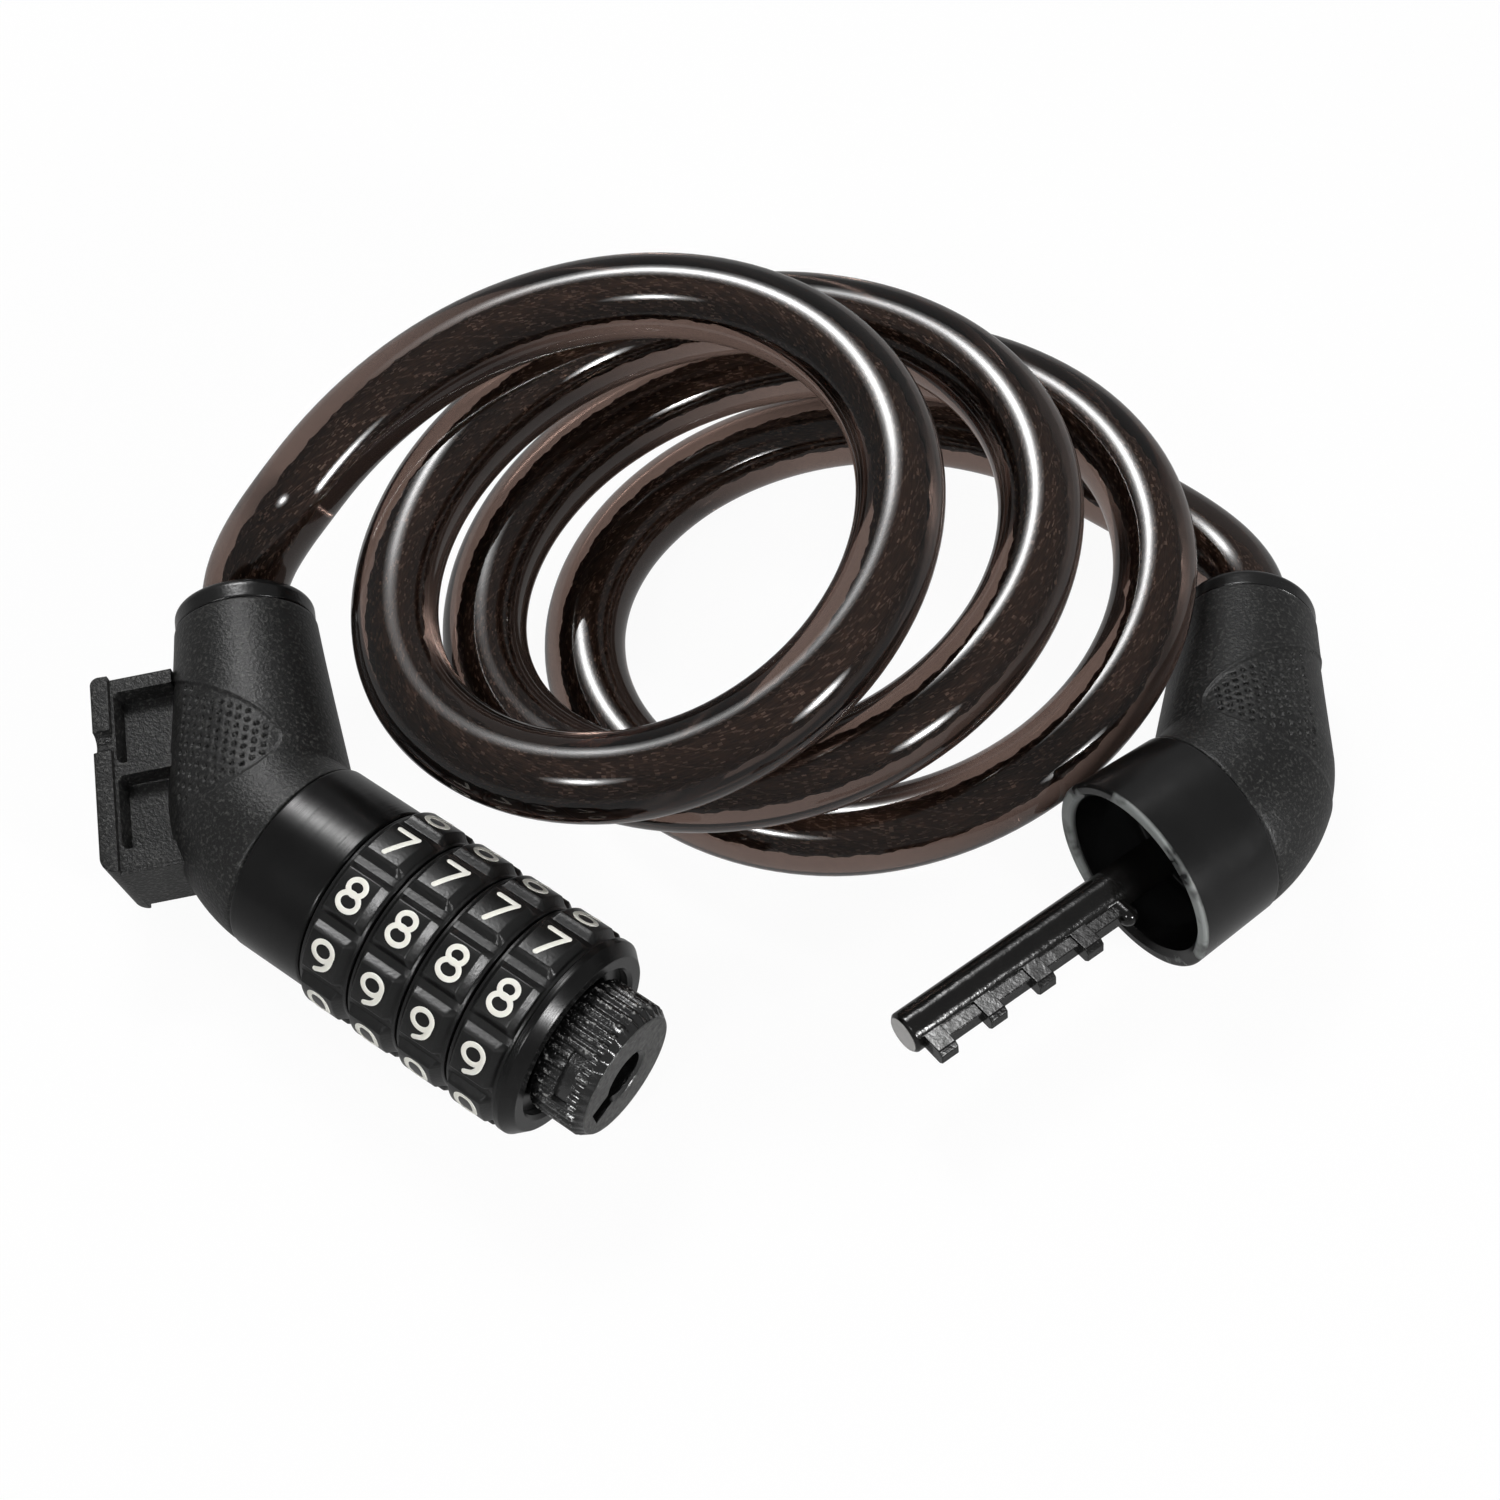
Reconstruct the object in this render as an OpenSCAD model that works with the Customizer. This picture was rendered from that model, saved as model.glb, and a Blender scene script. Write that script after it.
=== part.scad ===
// Coiled combination cable lock, lying open: a numbered head, a coiled cable and a toothed plug.
// Millimetres. +X runs along the head's barrel, out of its keyhole. Z = 0 is the surface it lies on.

/* [Barrel] */
// Number of number dials
dial_count = 4; // [2:1:5]
// Outer diameter of a dial
dial_d = 30; // [27:0.5:33]
// Distance from one dial to the next
dial_pitch = 8.3; // [7.8:0.1:10]
// Running gap between two dials
dial_gap = 0.3; // [0.2:0.05:0.5]
// Outer diameter of the plain barrel ring
ring_d = 28; // [26:0.5:29]
// Length of the plain barrel ring
ring_len = 12.3; // [11:0.1:13]
// Length of the collar that ends the row of dials
collar_len = 2.5; // [2:0.1:3.5]
// Diameter of the knurled knob
knob_d = 19.6; // [17.5:0.2:20.5]
// How far the knob stands out of the collar
knob_out = 7.8; // [7:0.1:9]

/* [Dials] */
// Number of digits on a dial
digit_count = 10; // [6:1:12]
// Length of a pad's top along the barrel
pad_len = 5.3; // [4.8:0.1:5.6]
// Height of a pad above the groove beside it
pad_rise = 1.1; // [0.6:0.1:1.5]
// Length of the low band at each end of a dial
band_len = 0.5; // [0.3:0.1:0.7]
// Angle of the middle of the pad that holds the digit 7, from +Y towards +Z, before the head's roll
digit_turn = 64.5; // [55:0.5:75]
// Thickness of the wall between a dial's bore and its grooves
spline_depth = 0.8; // [0.5:0.1:1.2]

/* [Keyway] */
// Diameter of the lock pin's shaft
pin_d = 6; // [5:0.1:6.4]
// Clearance round the shaft in the keyway
pin_clear = 0.3; // [0.2:0.05:0.5]
// Width of the pin's rib
rib_w = 2.2; // [1.6:0.1:2.6]
// Width of the pin's bits
bit_w = 2.8; // [2.2:0.1:3]
// Length of a bit along the pin
bit_len = 2.8; // [2:0.1:3]
// Reach of the bits from the pin's axis
bit_reach = 6.4; // [5.6:0.1:6.8]
// Clearance of the bits in their slots
bit_clear = 0.3; // [0.2:0.05:0.5]
// Wall of the slotted core tube
tube_wall = 1.7; // [1.4:0.1:2]
// Running fit between the core tube and what turns on it
run_fit = 0.05; // [0.02:0.01:0.1]

/* [Boots] */
// Angle through which each boot bends the cable
elbow_angle = 45; // [40:1:50]
// Distance from the bend's middle to the boot's barrel face
boot_face = 6.5; // [6:0.1:8]
// Diameter of a boot at its barrel face
boot_d = 27.8; // [26:0.1:28]
// Diameter of a boot where its end ring sits
neck_d = 20.2; // [19.8:0.1:22]
// Distance from the bend's middle to the end ring's outer face
neck_len = 35.5; // [34:0.5:40]
// Length of the end ring's visible lip
lip_len = 3.4; // [2.6:0.1:4]
// Turn of the head about its barrel, which lifts its neck
head_roll = 9; // [0:1:12]

/* [Bracket rail] */
// Length of the rail's flange
rail_len = 29.9; // [26:0.5:32]
// Distance from the neck's axis to the flange's outer face
rail_reach = 21; // [20:0.5:24]
// Thickness of the flange
flange_t = 2.5; // [2:0.1:3]
// Width of the flange
flange_w = 14; // [12:0.5:16]
// Width of the web that carries the flange
web_w = 11.6; // [10:0.2:12]
// Thickness of the web's floor between its pockets
web_floor = 6; // [4:0.5:7]
// Width of the latch notch in the flange
notch_w = 3.3; // [2.5:0.1:4]

/* [Plug] */
// Outer diameter of the shroud at its rim
shroud_d = 29.2; // [28:0.2:31]
// Length of the shroud
shroud_len = 14; // [13:0.5:18]
// Inner diameter of the shroud's cup
cup_d = 24.6; // [24:0.2:25.4]
// Depth of the cup
cup_depth = 11; // [10:0.5:12]
// Reach of the lock pin beyond the shroud's rim
pin_out = 39.7; // [38.5:0.1:41]
// Turn of the plug on the surface
plug_turn = -108; // [-112:1:-104]
// Turn of the plug about its pin, which lowers its neck
plug_roll = 10; // [6:1:12]

/* [Cable] */
// Outer diameter of the plastic sheath
cable_d = 12; // [11:0.1:12.2]
// Diameter of the steel rope inside it
rope_d = 5.6; // [5:0.1:6.4]
// Clearance of fixed pieces that slide together
slip = 0.1; // [0.05:0.01:0.15]

/* [Hidden] */
$fn = 96;
eps = 0.01;

// Places along the barrel, from the middle of the bend.
dials_x = boot_face + ring_len;
dials_end = dials_x + dial_count * dial_pitch;
collar_end = dials_end + collar_len;
knob_end = collar_end + knob_out;
dial_len = dial_pitch - dial_gap;

// Keyway and core.
bore_r = pin_d / 2 + pin_clear;
tube_r = bore_r + tube_wall;
slot_w = bit_w + 2 * bit_clear;
slot_reach = bit_reach + 2 * bit_clear;
knob_wall = 2.4;
tube_start = boot_face + 1.5;
tube_end = knob_end - knob_wall - 0.2;
tip_x = collar_end - pin_out;
spigot_r = 9.5;
spigot_end = dials_x - 2.9;
core_neck_r = 9.2;
core_end = neck_len - cable_d + 0.5;
bit_from_tip = 2.9;
spring_w = 2.4;
spring_t = 0.35;
spring_bump_r = 0.35;

// Dials and the code rings inside them.
dial_flange = 0.6;
code_ring_len = 4.7;
code_ring_r = 8.7;
spline_w = 2.2;
spline_clear = 0.1;
detent_r = 0.35;
groove_d = dial_d - 2 * pad_rise;
notch_bottom = 1.1;
notch_lift = 0.05;
pad_x = band_len + 0.7;
notch_slope = 1.3;

// Knob, clip and collar.
knurl_count = 36;
knurl_depth = 0.5;
knob_start = dials_end + 1.45;
disc_t = 1;
clip_t = 0.7;
clip_x = dials_end + dial_gap / 2 + disc_t + 0.05;
clip_r = tube_r + 1.1;
clip_root = tube_r - 0.5;
knob_pin_r = 0.8;
knob_pin_x = knob_start + 4;
window_w = 2;
window_arc = 50;

// Cable fittings in each neck.
cable_r = cable_d / 2;
rope_r = rope_d / 2;
exit_s = neck_len;
cable_in = neck_len - cable_d;
ferrule_start = 10;
ferrule_wall = 3.4;
ferrule_r = rope_r + ferrule_wall;
ferrule_groove = 0.9;
cross_pin_r = 1.2;
cross_pin_s = 16;
lip_round = 1.5;
sleeve_r = 8.3;
sleeve_len = 5;
lip_s = neck_len - lip_len;
lip_r = neck_d / 2 - 0.2;

// Rail on the head's neck, in the neck's own axes: along the neck, then outwards.
rail_end = 25.3;
rail_start = rail_end - rail_len;
rail_rib = 2.4;
rail_foot = 3.7;
rail_corner = 2.5;
web_inner = 9.8;
pocket_inner = 12.3;
notch_mid = 15.3;
notch_depth = 1.6;

// Plug, in the same axes as the head: the pin runs along +X.
rim_x = boot_face + shroud_len;
cup_x = rim_x - cup_depth;
pin_start = 1;
pin_tip = rim_x + pin_out;
peg_x = rim_x + 4.7;
dowel_r = 1;
dowel_x = 5;

// The origin lies under the middle of the head's own box.
side = sin(elbow_angle);
lean = cos(elbow_angle);
reach_back = max((exit_s - lip_round) * lean + (lip_r - lip_round) * side + lip_round,
                 (rail_end - 1) * lean + rail_reach * side);
rail_low = max((rail_reach * lean - (rail_start + rail_corner) * side),
               ((rail_reach - rail_corner) * lean - rail_start * side));
reach_right = max(dial_d / 2, rail_low * cos(head_roll) + flange_w / 2 * sin(head_roll));
lip_swing = norm([(lip_r - lip_round) * lean * cos(head_roll), (lip_r - lip_round) * sin(head_roll)]);
reach_left = (exit_s - lip_round) * side * cos(head_roll) + lip_swing + lip_round;
head_at = [(reach_back - knob_end) / 2, (reach_right - reach_left) / 2, dial_d / 2];
plug_at = [91.5, 76, shroud_d / 2];

// The coil: each half turn has its middle and radius, each quarter turn its height.
half_turns = [[-0.5, 14, 33.5], [-6, 48, 47], [10, 56, 39], [14, 70, 39],
              [21.5, 61.5, 41], [24.5, 73.5, 46], [22, 71.5, 33.5], [36.5, 86.5, 38]];
quarter_heights = [18.5, 42.5, 48.5, 37, 29.5, 31.5, 34, 28, 18.5, 19, 23, 10, 6.5, 7.5, 7];
coil_start = 215.5;
join_in = 50;
join_out = 1220;
lead_pull = 1.05;
rings_per_turn = 30;
lead_rings = 5;
sides = 12;

function ease(a, b, c, d, x) = (2 * b + (c - a) * x + (2 * a - 5 * b + 4 * c - d) * x * x
                                + (3 * b - a - 3 * c + d) * x * x * x) / 2;
function knot(list, k) = k < 0 ? 2 * list[0] - list[1]
                       : k >= len(list) ? 2 * list[len(list) - 1] - list[len(list) - 2] : list[k];
function along(list, t) = let (i = min(floor(t), len(list) - 2))
    ease(knot(list, i - 1), knot(list, i), knot(list, i + 1), knot(list, i + 2), t - i);
function coil_point(a) = let (c = along(half_turns, a / 180), phi = coil_start - a)
    [c[0] + c[2] * cos(phi), c[1] + c[2] * sin(phi), along(quarter_heights, a / 90)];
function unit(v) = v / norm(v);
function coil_way(a) = unit(coil_point(a + 1) - coil_point(a - 1));
function join(p, u, q, v, x) = (2 * x * x * x - 3 * x * x + 1) * p + (x * x * x - 2 * x * x + x) * u
                             + (3 * x * x - 2 * x * x * x) * q + (x * x * x - x * x) * v;
function lead(p, u, q, v) = let (pull = norm(q - p) * lead_pull)
    [for (k = [0 : lead_rings]) join(p, u * pull, q, v * pull, k / lead_rings)];

// A point or direction given in the neck's axes, and where it lies in the row.
function turn_z(p, a) = [p[0] * cos(a) - p[1] * sin(a), p[0] * sin(a) + p[1] * cos(a), p[2]];
function turn_x(p, a) = [p[0], p[1] * cos(a) - p[2] * sin(a), p[1] * sin(a) + p[2] * cos(a)];
function head_way(p) = turn_x(turn_z(p, 180 - elbow_angle), head_roll);
function plug_way(p) = let (q = turn_z(p, 180 - elbow_angle))
    turn_z(turn_x([q[0], -q[1], q[2]], plug_roll), plug_turn);
head_out = head_way([1, 0, 0]);
plug_out = plug_way([1, 0, 0]);
head_exit = head_at + head_out * exit_s;
plug_exit = plug_at + plug_out * exit_s;

function coil_steps() = ceil((join_out - join_in) * rings_per_turn / 360);
route = concat([head_exit - head_out * cable_d],
               lead(head_exit, head_out, coil_point(join_in), coil_way(join_in)),
               [for (k = [1 : coil_steps() - 1]) coil_point(join_in + (join_out - join_in) * k / coil_steps())],
               lead(coil_point(join_out), coil_way(join_out), plug_exit, -plug_out),
               [plug_exit - plug_out * cable_d]);
last = len(route) - 1;
function way(k) = k <= 1 ? head_out : k >= last - 1 ? -plug_out : unit(route[k + 1] - route[k - 1]);
travelled = [for (k = 0, s = 0; k <= last; s = s + (k < last ? norm(route[k + 1] - route[k]) : 0), k = k + 1) s];
self_gap = min([for (i = [0 : last], j = [i + 1 : 1 : last])
                if (travelled[j] - travelled[i] > 5 * cable_d) norm(route[i] - route[j])]) - cable_d;
echo(cable_length = travelled[last], least_gap_between_turns = self_gap,
     lowest_point = min([for (p = route) p[2]]) - cable_r);

// A solid of triangles skinned over rings of points, each ring counter-clockwise about the way it travels.
module skin(rings) {
    n = len(rings[0]);
    m = len(rings) - 1;
    polyhedron(points = [for (ring = rings) each ring],
               faces = concat([for (i = [1 : n - 2]) [0, i, i + 1]],
                              [for (i = [1 : n - 2]) [m * n, m * n + i + 1, m * n + i]],
                              [for (k = [0 : m - 1], i = [0 : n - 1]) let (j = (i + 1) % n)
                                  each [[k * n + i, k * n + n + i, k * n + n + j],
                                        [k * n + i, k * n + n + j, k * n + j]]]));
}

// A turned solid about X from a profile of [radius, x] points.
module lathe(profile) {
    rotate([0, 90, 0]) rotate_extrude() polygon(profile);
}

module rod(r, x0, x1) {
    translate([x0, 0, 0]) rotate([0, 90, 0]) cylinder(r = r, h = x1 - x0);
}

module in_head() {
    translate(head_at) rotate([head_roll, 0, 0]) children();
}

module in_plug() {
    translate(plug_at) rotate([0, 0, plug_turn]) rotate([plug_roll, 0, 0]) mirror([0, 1, 0]) children();
}

module in_neck() {
    rotate([0, 0, 180 - elbow_angle]) children();
}

// Boots: moulded shells round the bend, narrowing to the end ring.
bend_r = boot_face / tan(elbow_angle / 2);

bend_len = bend_r * elbow_angle * PI / 180;
boot_len = bend_len + lip_s - boot_face;
bend_steps = 6;
boot_sides = 36;
elbow_cavity = bend_r / cos(elbow_angle / 2) - bend_r + spigot_r + 0.2;

function boot_r(s) = let (t = s / boot_len)
    boot_d / 2 + (neck_d - boot_d) / 2 * (0.8 * t + 0.2 * t * t * (3 - 2 * t));
function boot_ring(p, a, r) = [for (i = [0 : boot_sides - 1]) let (f = i * 360 / boot_sides)
    [p[0] - r * cos(f) * sin(a), p[1] + r * cos(f) * cos(a), r * sin(f)]];
function bend_ring(k, r) = let (a = elbow_angle * k / bend_steps)
    boot_ring([boot_face - bend_r * sin(a), bend_r - bend_r * cos(a)], 180 - a, r);
function neck_ring(s, r) = boot_ring([-s * lean, s * side], 180 - elbow_angle, r);

boot_rings = concat(
    [for (k = [0 : bend_steps]) bend_ring(k, boot_r(bend_len * k / bend_steps))],
    [for (k = [1 : 4]) let (s = boot_face + (lip_s - boot_face) * k / 4) neck_ring(s, boot_r(bend_len + s - boot_face))],
    [neck_ring(lip_s, sleeve_r + slip), neck_ring(core_end + slip, sleeve_r + slip),
     neck_ring(core_end + slip, spigot_r + slip), neck_ring(boot_face + 1.5, spigot_r + slip)],
    [for (k = [bend_steps : -1 : 0]) bend_ring(k, elbow_cavity)]);

// A shell skinned over a closed run of rings, out along its outside and back along its inside.
module shell(rings) {
    n = len(rings[0]);
    m = len(rings);
    polyhedron(points = [for (ring = rings) each ring],
               faces = [for (k = [0 : m - 1], i = [0 : n - 1])
                            let (a = k * n, b = (k + 1) % m * n, j = (i + 1) % n)
                                each [[a + i, b + i, b + j], [a + i, b + j, a + j]]]);
}

// Rail: a flange on a web, with pockets in the web's two sides and a latch notch in each edge.
module rail() {
    in_neck() difference() {
        union() {
            linear_extrude(height = web_w, center = true)
                polygon([[rail_start, web_inner], [rail_start, rail_reach - flange_t],
                         [rail_end, rail_reach - flange_t], [rail_end, web_inner]]);
            linear_extrude(height = flange_w, center = true)
                polygon([[rail_start, rail_reach - flange_t - eps], [rail_start, rail_reach - rail_corner],
                         [rail_start + rail_corner, rail_reach], [rail_end - 1, rail_reach],
                         [rail_end, rail_reach - 1], [rail_end, rail_reach - flange_t - eps]]);
        }
        for (up = [-1, 1])
            translate([0, 0, up * (web_floor + web_w) / 2]) {
                rail_pocket(rail_start + rail_foot, (rail_start + rail_end) / 2 - 0.4);
                rail_pocket((rail_start + rail_end) / 2 + rail_rib - 0.6, rail_end - rail_rib);
            }
        for (up = [-1, 1])
            translate([notch_mid, rail_reach, up * (flange_w / 2 + notch_w / 2 - notch_depth)])
                rotate([90, 0, 0]) cylinder(d = notch_w, h = 3 * flange_t, center = true);
    }
}

module rail_pocket(s0, s1) {
    linear_extrude(height = web_w, center = true)
        polygon([[s0, pocket_inner], [s0, rail_reach - flange_t - 0.6],
                 [s1, rail_reach - flange_t - 0.6], [s1, pocket_inner]]);
}

module boot_head() {
    color("#232323") in_head() {
        shell(boot_rings);
        rail();
    }
}

module boot_plug() {
    color("#232323") in_plug() shell(boot_rings);
}

// End rings: a rounded lip with a sleeve pressed into the boot.
module end_ring() {
    color("#1c1c1c") in_neck() lathe(concat(
        [[cable_r + slip * 2, lip_s - sleeve_len], [sleeve_r, lip_s - sleeve_len], [sleeve_r, lip_s],
         [lip_r, lip_s]],
        [for (k = [0 : 6]) let (a = 90 * k / 6)
            [lip_r - lip_round + lip_round * cos(a), exit_s - lip_round + lip_round * sin(a)]],
        [[cable_r + slip * 2, exit_s]]));
}

module end_ring_head() {
    in_head() end_ring();
}

module end_ring_plug() {
    in_plug() end_ring();
}

// Die-cast cores: a spigot into the barrel and a socket for the cable's ferrule.
module core(reach, bore, bore_start) {
    color("#8d9093") difference() {
        union() {
            rod(spigot_r, 0, reach);
            sphere(r = spigot_r);
            in_neck() rod(core_neck_r, 0, core_end);
        }
        rod(bore, bore_start, reach + 1);
        in_neck() {
            rod(ferrule_r + run_fit, ferrule_start, cable_in + 1);
            cross_pin_hole();
        }
    }
}

module cross_pin_hole() {
    translate([cross_pin_s, ferrule_r - ferrule_groove + cross_pin_r + run_fit, 0])
        cylinder(r = cross_pin_r + run_fit, h = 4 * spigot_r, center = true);
}

module core_head() {
    in_head() core(spigot_end, tube_r + run_fit, tube_start);
}

module core_plug() {
    in_plug() difference() {
        core(cup_x, pin_d / 2 + run_fit, pin_start);
        translate([dowel_x, 0, 0]) cylinder(r = dowel_r + run_fit, h = 4 * spigot_r, center = true);
    }
}

// Ferrules: steel tubes crimped on the bare rope, grooved for the cross pin.
module ferrule() {
    color("#b0a890") in_neck() lathe([
        [rope_r + run_fit, ferrule_start + 0.2], [ferrule_r, ferrule_start + 0.2],
        [ferrule_r, cross_pin_s - cross_pin_r - slip],
        [ferrule_r - ferrule_groove, cross_pin_s - cross_pin_r - slip],
        [ferrule_r - ferrule_groove, cross_pin_s + cross_pin_r + slip],
        [ferrule_r, cross_pin_s + cross_pin_r + slip],
        [ferrule_r, cable_in], [rope_r + run_fit, cable_in]]);
}

module ferrule_head() {
    in_head() ferrule();
}

module ferrule_plug() {
    in_plug() ferrule();
}

module rope_end() {
    color("#9a9a96") in_neck() rod(rope_r, ferrule_start + 0.4, cable_in);
}

module rope_end_head() {
    in_head() rope_end();
}

module rope_end_plug() {
    in_plug() rope_end();
}

module cross_pin() {
    offset_y = ferrule_r - ferrule_groove + cross_pin_r + run_fit;
    half = sqrt(core_neck_r * core_neck_r - (offset_y + cross_pin_r) * (offset_y + cross_pin_r)) - slip;
    color("#c8c8c8") in_neck() translate([cross_pin_s, offset_y, 0])
        cylinder(r = cross_pin_r, h = 2 * half, center = true);
}

module cross_pin_head() {
    in_head() cross_pin();
}

module cross_pin_plug() {
    in_plug() cross_pin();
}

// Barrel ring: the plain glossy collar between the boot and the dials.
module barrel_ring() {
    edge = 0.5;
    x1 = dials_x - dial_gap / 2;
    color("#101010") in_head() lathe([
        [spigot_r + run_fit, boot_face], [ring_d / 2 - edge, boot_face], [ring_d / 2, boot_face + edge],
        [ring_d / 2, x1 - edge], [ring_d / 2 - edge, x1], [slot_reach + bit_clear, x1],
        [slot_reach + bit_clear, spigot_end + slip], [spigot_r + run_fit, spigot_end + slip]]);
}

// Core tube: carries the dials. Its slot faces -Y and lets the pin's bits through.
module core_tube() {
    color("#a7a9ac") in_head() difference() {
        rod(tube_r, tube_start + slip, tube_end);
        rod(bore_r, tube_start, tube_end + 1);
        translate([tip_x - 1, -slot_reach, -slot_w / 2]) cube([knob_end, slot_reach, slot_w]);
        tube_groove(clip_root, clip_x - run_fit, clip_x + clip_t + run_fit);
        tube_groove(tube_r - 0.7, knob_pin_x - knob_pin_r - slip, knob_pin_x + knob_pin_r + slip);
        translate([dials_x, tube_r - spring_t - 0.55, -spring_w / 2 - slip])
            cube([dials_end - dials_x - dial_gap, 2, spring_w + 2 * slip]);
    }
}

module tube_groove(r, x0, x1) {
    lathe([[r, x0], [tube_r + 1, x0], [tube_r + 1, x1], [r, x1]]);
}

// Detent spring: a thin strip in the core tube, with one low bump under each code ring.
module detent_spring() {
    color("#c0a060") in_head() {
        translate([dials_x + slip, tube_r - spring_t - 0.5, -spring_w / 2])
            cube([dials_end - dials_x - dial_gap - 2 * slip, spring_t, spring_w]);
        for (i = [0 : dial_count - 1])
            translate([dials_x + i * dial_pitch + dial_flange + code_ring_len / 2, tube_r - 0.45, 0])
                rotate([0, 90, 0]) cylinder(r = spring_bump_r, h = 2, center = true);
    }
}

// End collar: a slotted disc on the core tube whose chamfered lip ends the row of dials.
module end_collar() {
    x0 = dials_end - dial_gap / 2;
    r1 = dial_d / 2 - 0.3;
    inner = knob_d / 2 + 1.3;
    color("#1a1a1a") in_head() difference() {
        lathe([[tube_r + run_fit, x0 + 0.1], [r1, x0 + 0.1], [r1, x0 + 1.1], [r1 - 1.4, collar_end],
               [inner + 0.5, collar_end], [inner, collar_end - 0.5], [inner, x0 + 0.1 + disc_t],
               [tube_r + run_fit, x0 + 0.1 + disc_t]]);
        translate([x0 - 1, -slot_reach, -slot_w / 2]) cube([disc_t + 3, slot_reach, slot_w]);
    }
}

// Retaining clip: a C ring in the core tube's groove, open at the slot.
module retaining_clip() {
    color("#b8b8b8") in_head() difference() {
        lathe([[clip_root + run_fit, clip_x], [clip_r, clip_x], [clip_r, clip_x + clip_t],
               [clip_root + run_fit, clip_x + clip_t]]);
        translate([clip_x - 1, -2 * clip_r, -slot_w / 2 - bit_clear])
            cube([clip_t + 2, 2 * clip_r, slot_w + 2 * bit_clear]);
    }
}

// Reset knob: a straight-knurled sleeve with the keyhole in its end wall and two side windows.
function knurl_point(i) = let (q = i % 4, a = (i - 0.4 * (q % 2)) * 90 / knurl_count,
                               r = knob_d / 2 - (q < 2 ? 0 : knurl_depth)) [r * cos(a), r * sin(a)];

module reset_knob() {
    face_r = knob_d / 2 - 0.9;
    color("#141414") in_head() difference() {
        intersection() {
            translate([knob_start, 0, 0]) rotate([0, 90, 0])
                linear_extrude(height = knob_end - knob_start)
                    polygon([for (i = [0 : 4 * knurl_count - 1]) knurl_point(i)]);
            lathe([[0, knob_start], [knob_d / 2 - 0.8, knob_start], [knob_d / 2 + 0.1, knob_start + 0.8],
                   [knob_d / 2 + 0.1, knob_end - 1.3], [face_r, knob_end], [0, knob_end]]);
        }
        rod(tube_r + run_fit, knob_start - 1, knob_end - knob_wall);
        rod(clip_r + slip, knob_start - 1, clip_x + clip_t + 2 * slip);
        rod(bore_r, knob_end - knob_wall - 1, knob_end + 1);
        lathe([[0, knob_end - 0.5], [bore_r, knob_end - 0.5], [bore_r + 0.7, knob_end + eps],
               [0, knob_end + eps]]);
        translate([knob_start - 1, -slot_reach, -slot_w / 2])
            cube([knob_end - knob_start + 2, slot_reach, slot_w]);
        translate([knob_pin_x, 0, 0]) rotate([-90, 0, 0])
            cylinder(r = knob_pin_r + run_fit / 2, h = knob_d);
        for (a = [40, 220]) rotate([a, 0, 0]) knob_window();
    }
}

// A window cut through the knurl over part of a turn.
module knob_window() {
    x0 = collar_end + knob_out / 2 - window_w / 2;
    rotate([0, 90, 0]) translate([0, 0, x0]) rotate([0, 0, -window_arc / 2])
        rotate_extrude(angle = window_arc)
            translate([knob_d / 2 - 1, 0]) square([2, window_w]);
}

module knob_pin() {
    color("#c8c8c8") in_head() translate([knob_pin_x, tube_r - 0.7 + slip, 0]) rotate([-90, 0, 0])
        cylinder(r = knob_pin_r, h = knob_d / 2 - tube_r - knurl_depth);
}

// Dials: ten pads between sloped grooves, a low band at each end and splines in the bore.
module dial(i) {
    bore = code_ring_r + spline_clear;
    edge = 0.15;
    top = dial_d / 2;
    root = groove_d / 2;
    color("#1b1b1b") in_head() translate([dials_x + i * dial_pitch, 0, 0]) difference() {
        lathe([[slot_reach + bit_clear, 0], [root - edge, 0], [root, edge], [root, band_len], [top, pad_x],
               [top, pad_x + pad_len], [root, dial_len - band_len], [root, dial_len - edge],
               [root - edge, dial_len], [bore, dial_len], [bore, dial_flange],
               [slot_reach + bit_clear, dial_flange]]);
        for (k = [0 : digit_count - 1])
            rotate([digit_turn + (k + 0.5) * 360 / digit_count, 0, 0]) pad_groove();
        prism(arms(bore - 1.5, bore + spline_depth, spline_w), dial_flange, dial_len);
    }
}

// The groove between two pads: a flat bottom between two slopes, over the dial's whole length.
module pad_groove() {
    root = groove_d / 2 + notch_lift;
    lift = pad_rise + 0.4;
    translate([-1, 0, 0]) rotate([90, 0, 90]) linear_extrude(height = dial_len + 2)
        polygon([[root, -notch_bottom / 2], [root + lift, -notch_bottom / 2 - notch_slope * lift / pad_rise],
                 [root + lift, notch_bottom / 2 + notch_slope * lift / pad_rise], [root, notch_bottom / 2]]);
}

// Code rings: ride in the dials on splines, gated where the bits pass.
function arms(r0, r1, w) = [for (k = [0 : digit_count - 1], c = [[r0, -w], [r1, -w], [r1, w], [r0, w]])
    let (a = k * 360 / digit_count) [c[0] * cos(a) - c[1] / 2 * sin(a), c[0] * sin(a) + c[1] / 2 * cos(a)]];

module code_ring(i) {
    lug_r = code_ring_r + spline_depth - spline_clear;
    x0 = dial_flange + run_fit;
    color("#c9a24a") in_head() translate([dials_x + i * dial_pitch, 0, 0]) difference() {
        union() {
            rod(code_ring_r, x0, x0 + code_ring_len);
            prism(arms(code_ring_r - 0.6, lug_r, spline_w - 2 * spline_clear), x0, code_ring_len);
        }
        rod(tube_r + run_fit, -1, dial_len + 1);
        translate([-1, -slot_reach, -slot_w / 2]) cube([dial_len + 2, slot_reach, slot_w]);
        prism(arms(tube_r - 1, tube_r + run_fit + detent_r, 0.8), -1, dial_len + 2);
    }
}

// A straight block along X from an outline across it: [y, z] points, the first along +Y.
module prism(outline, x0, length) {
    translate([x0, 0, 0]) rotate([90, 0, 90]) linear_extrude(height = length) polygon(outline);
}

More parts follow.
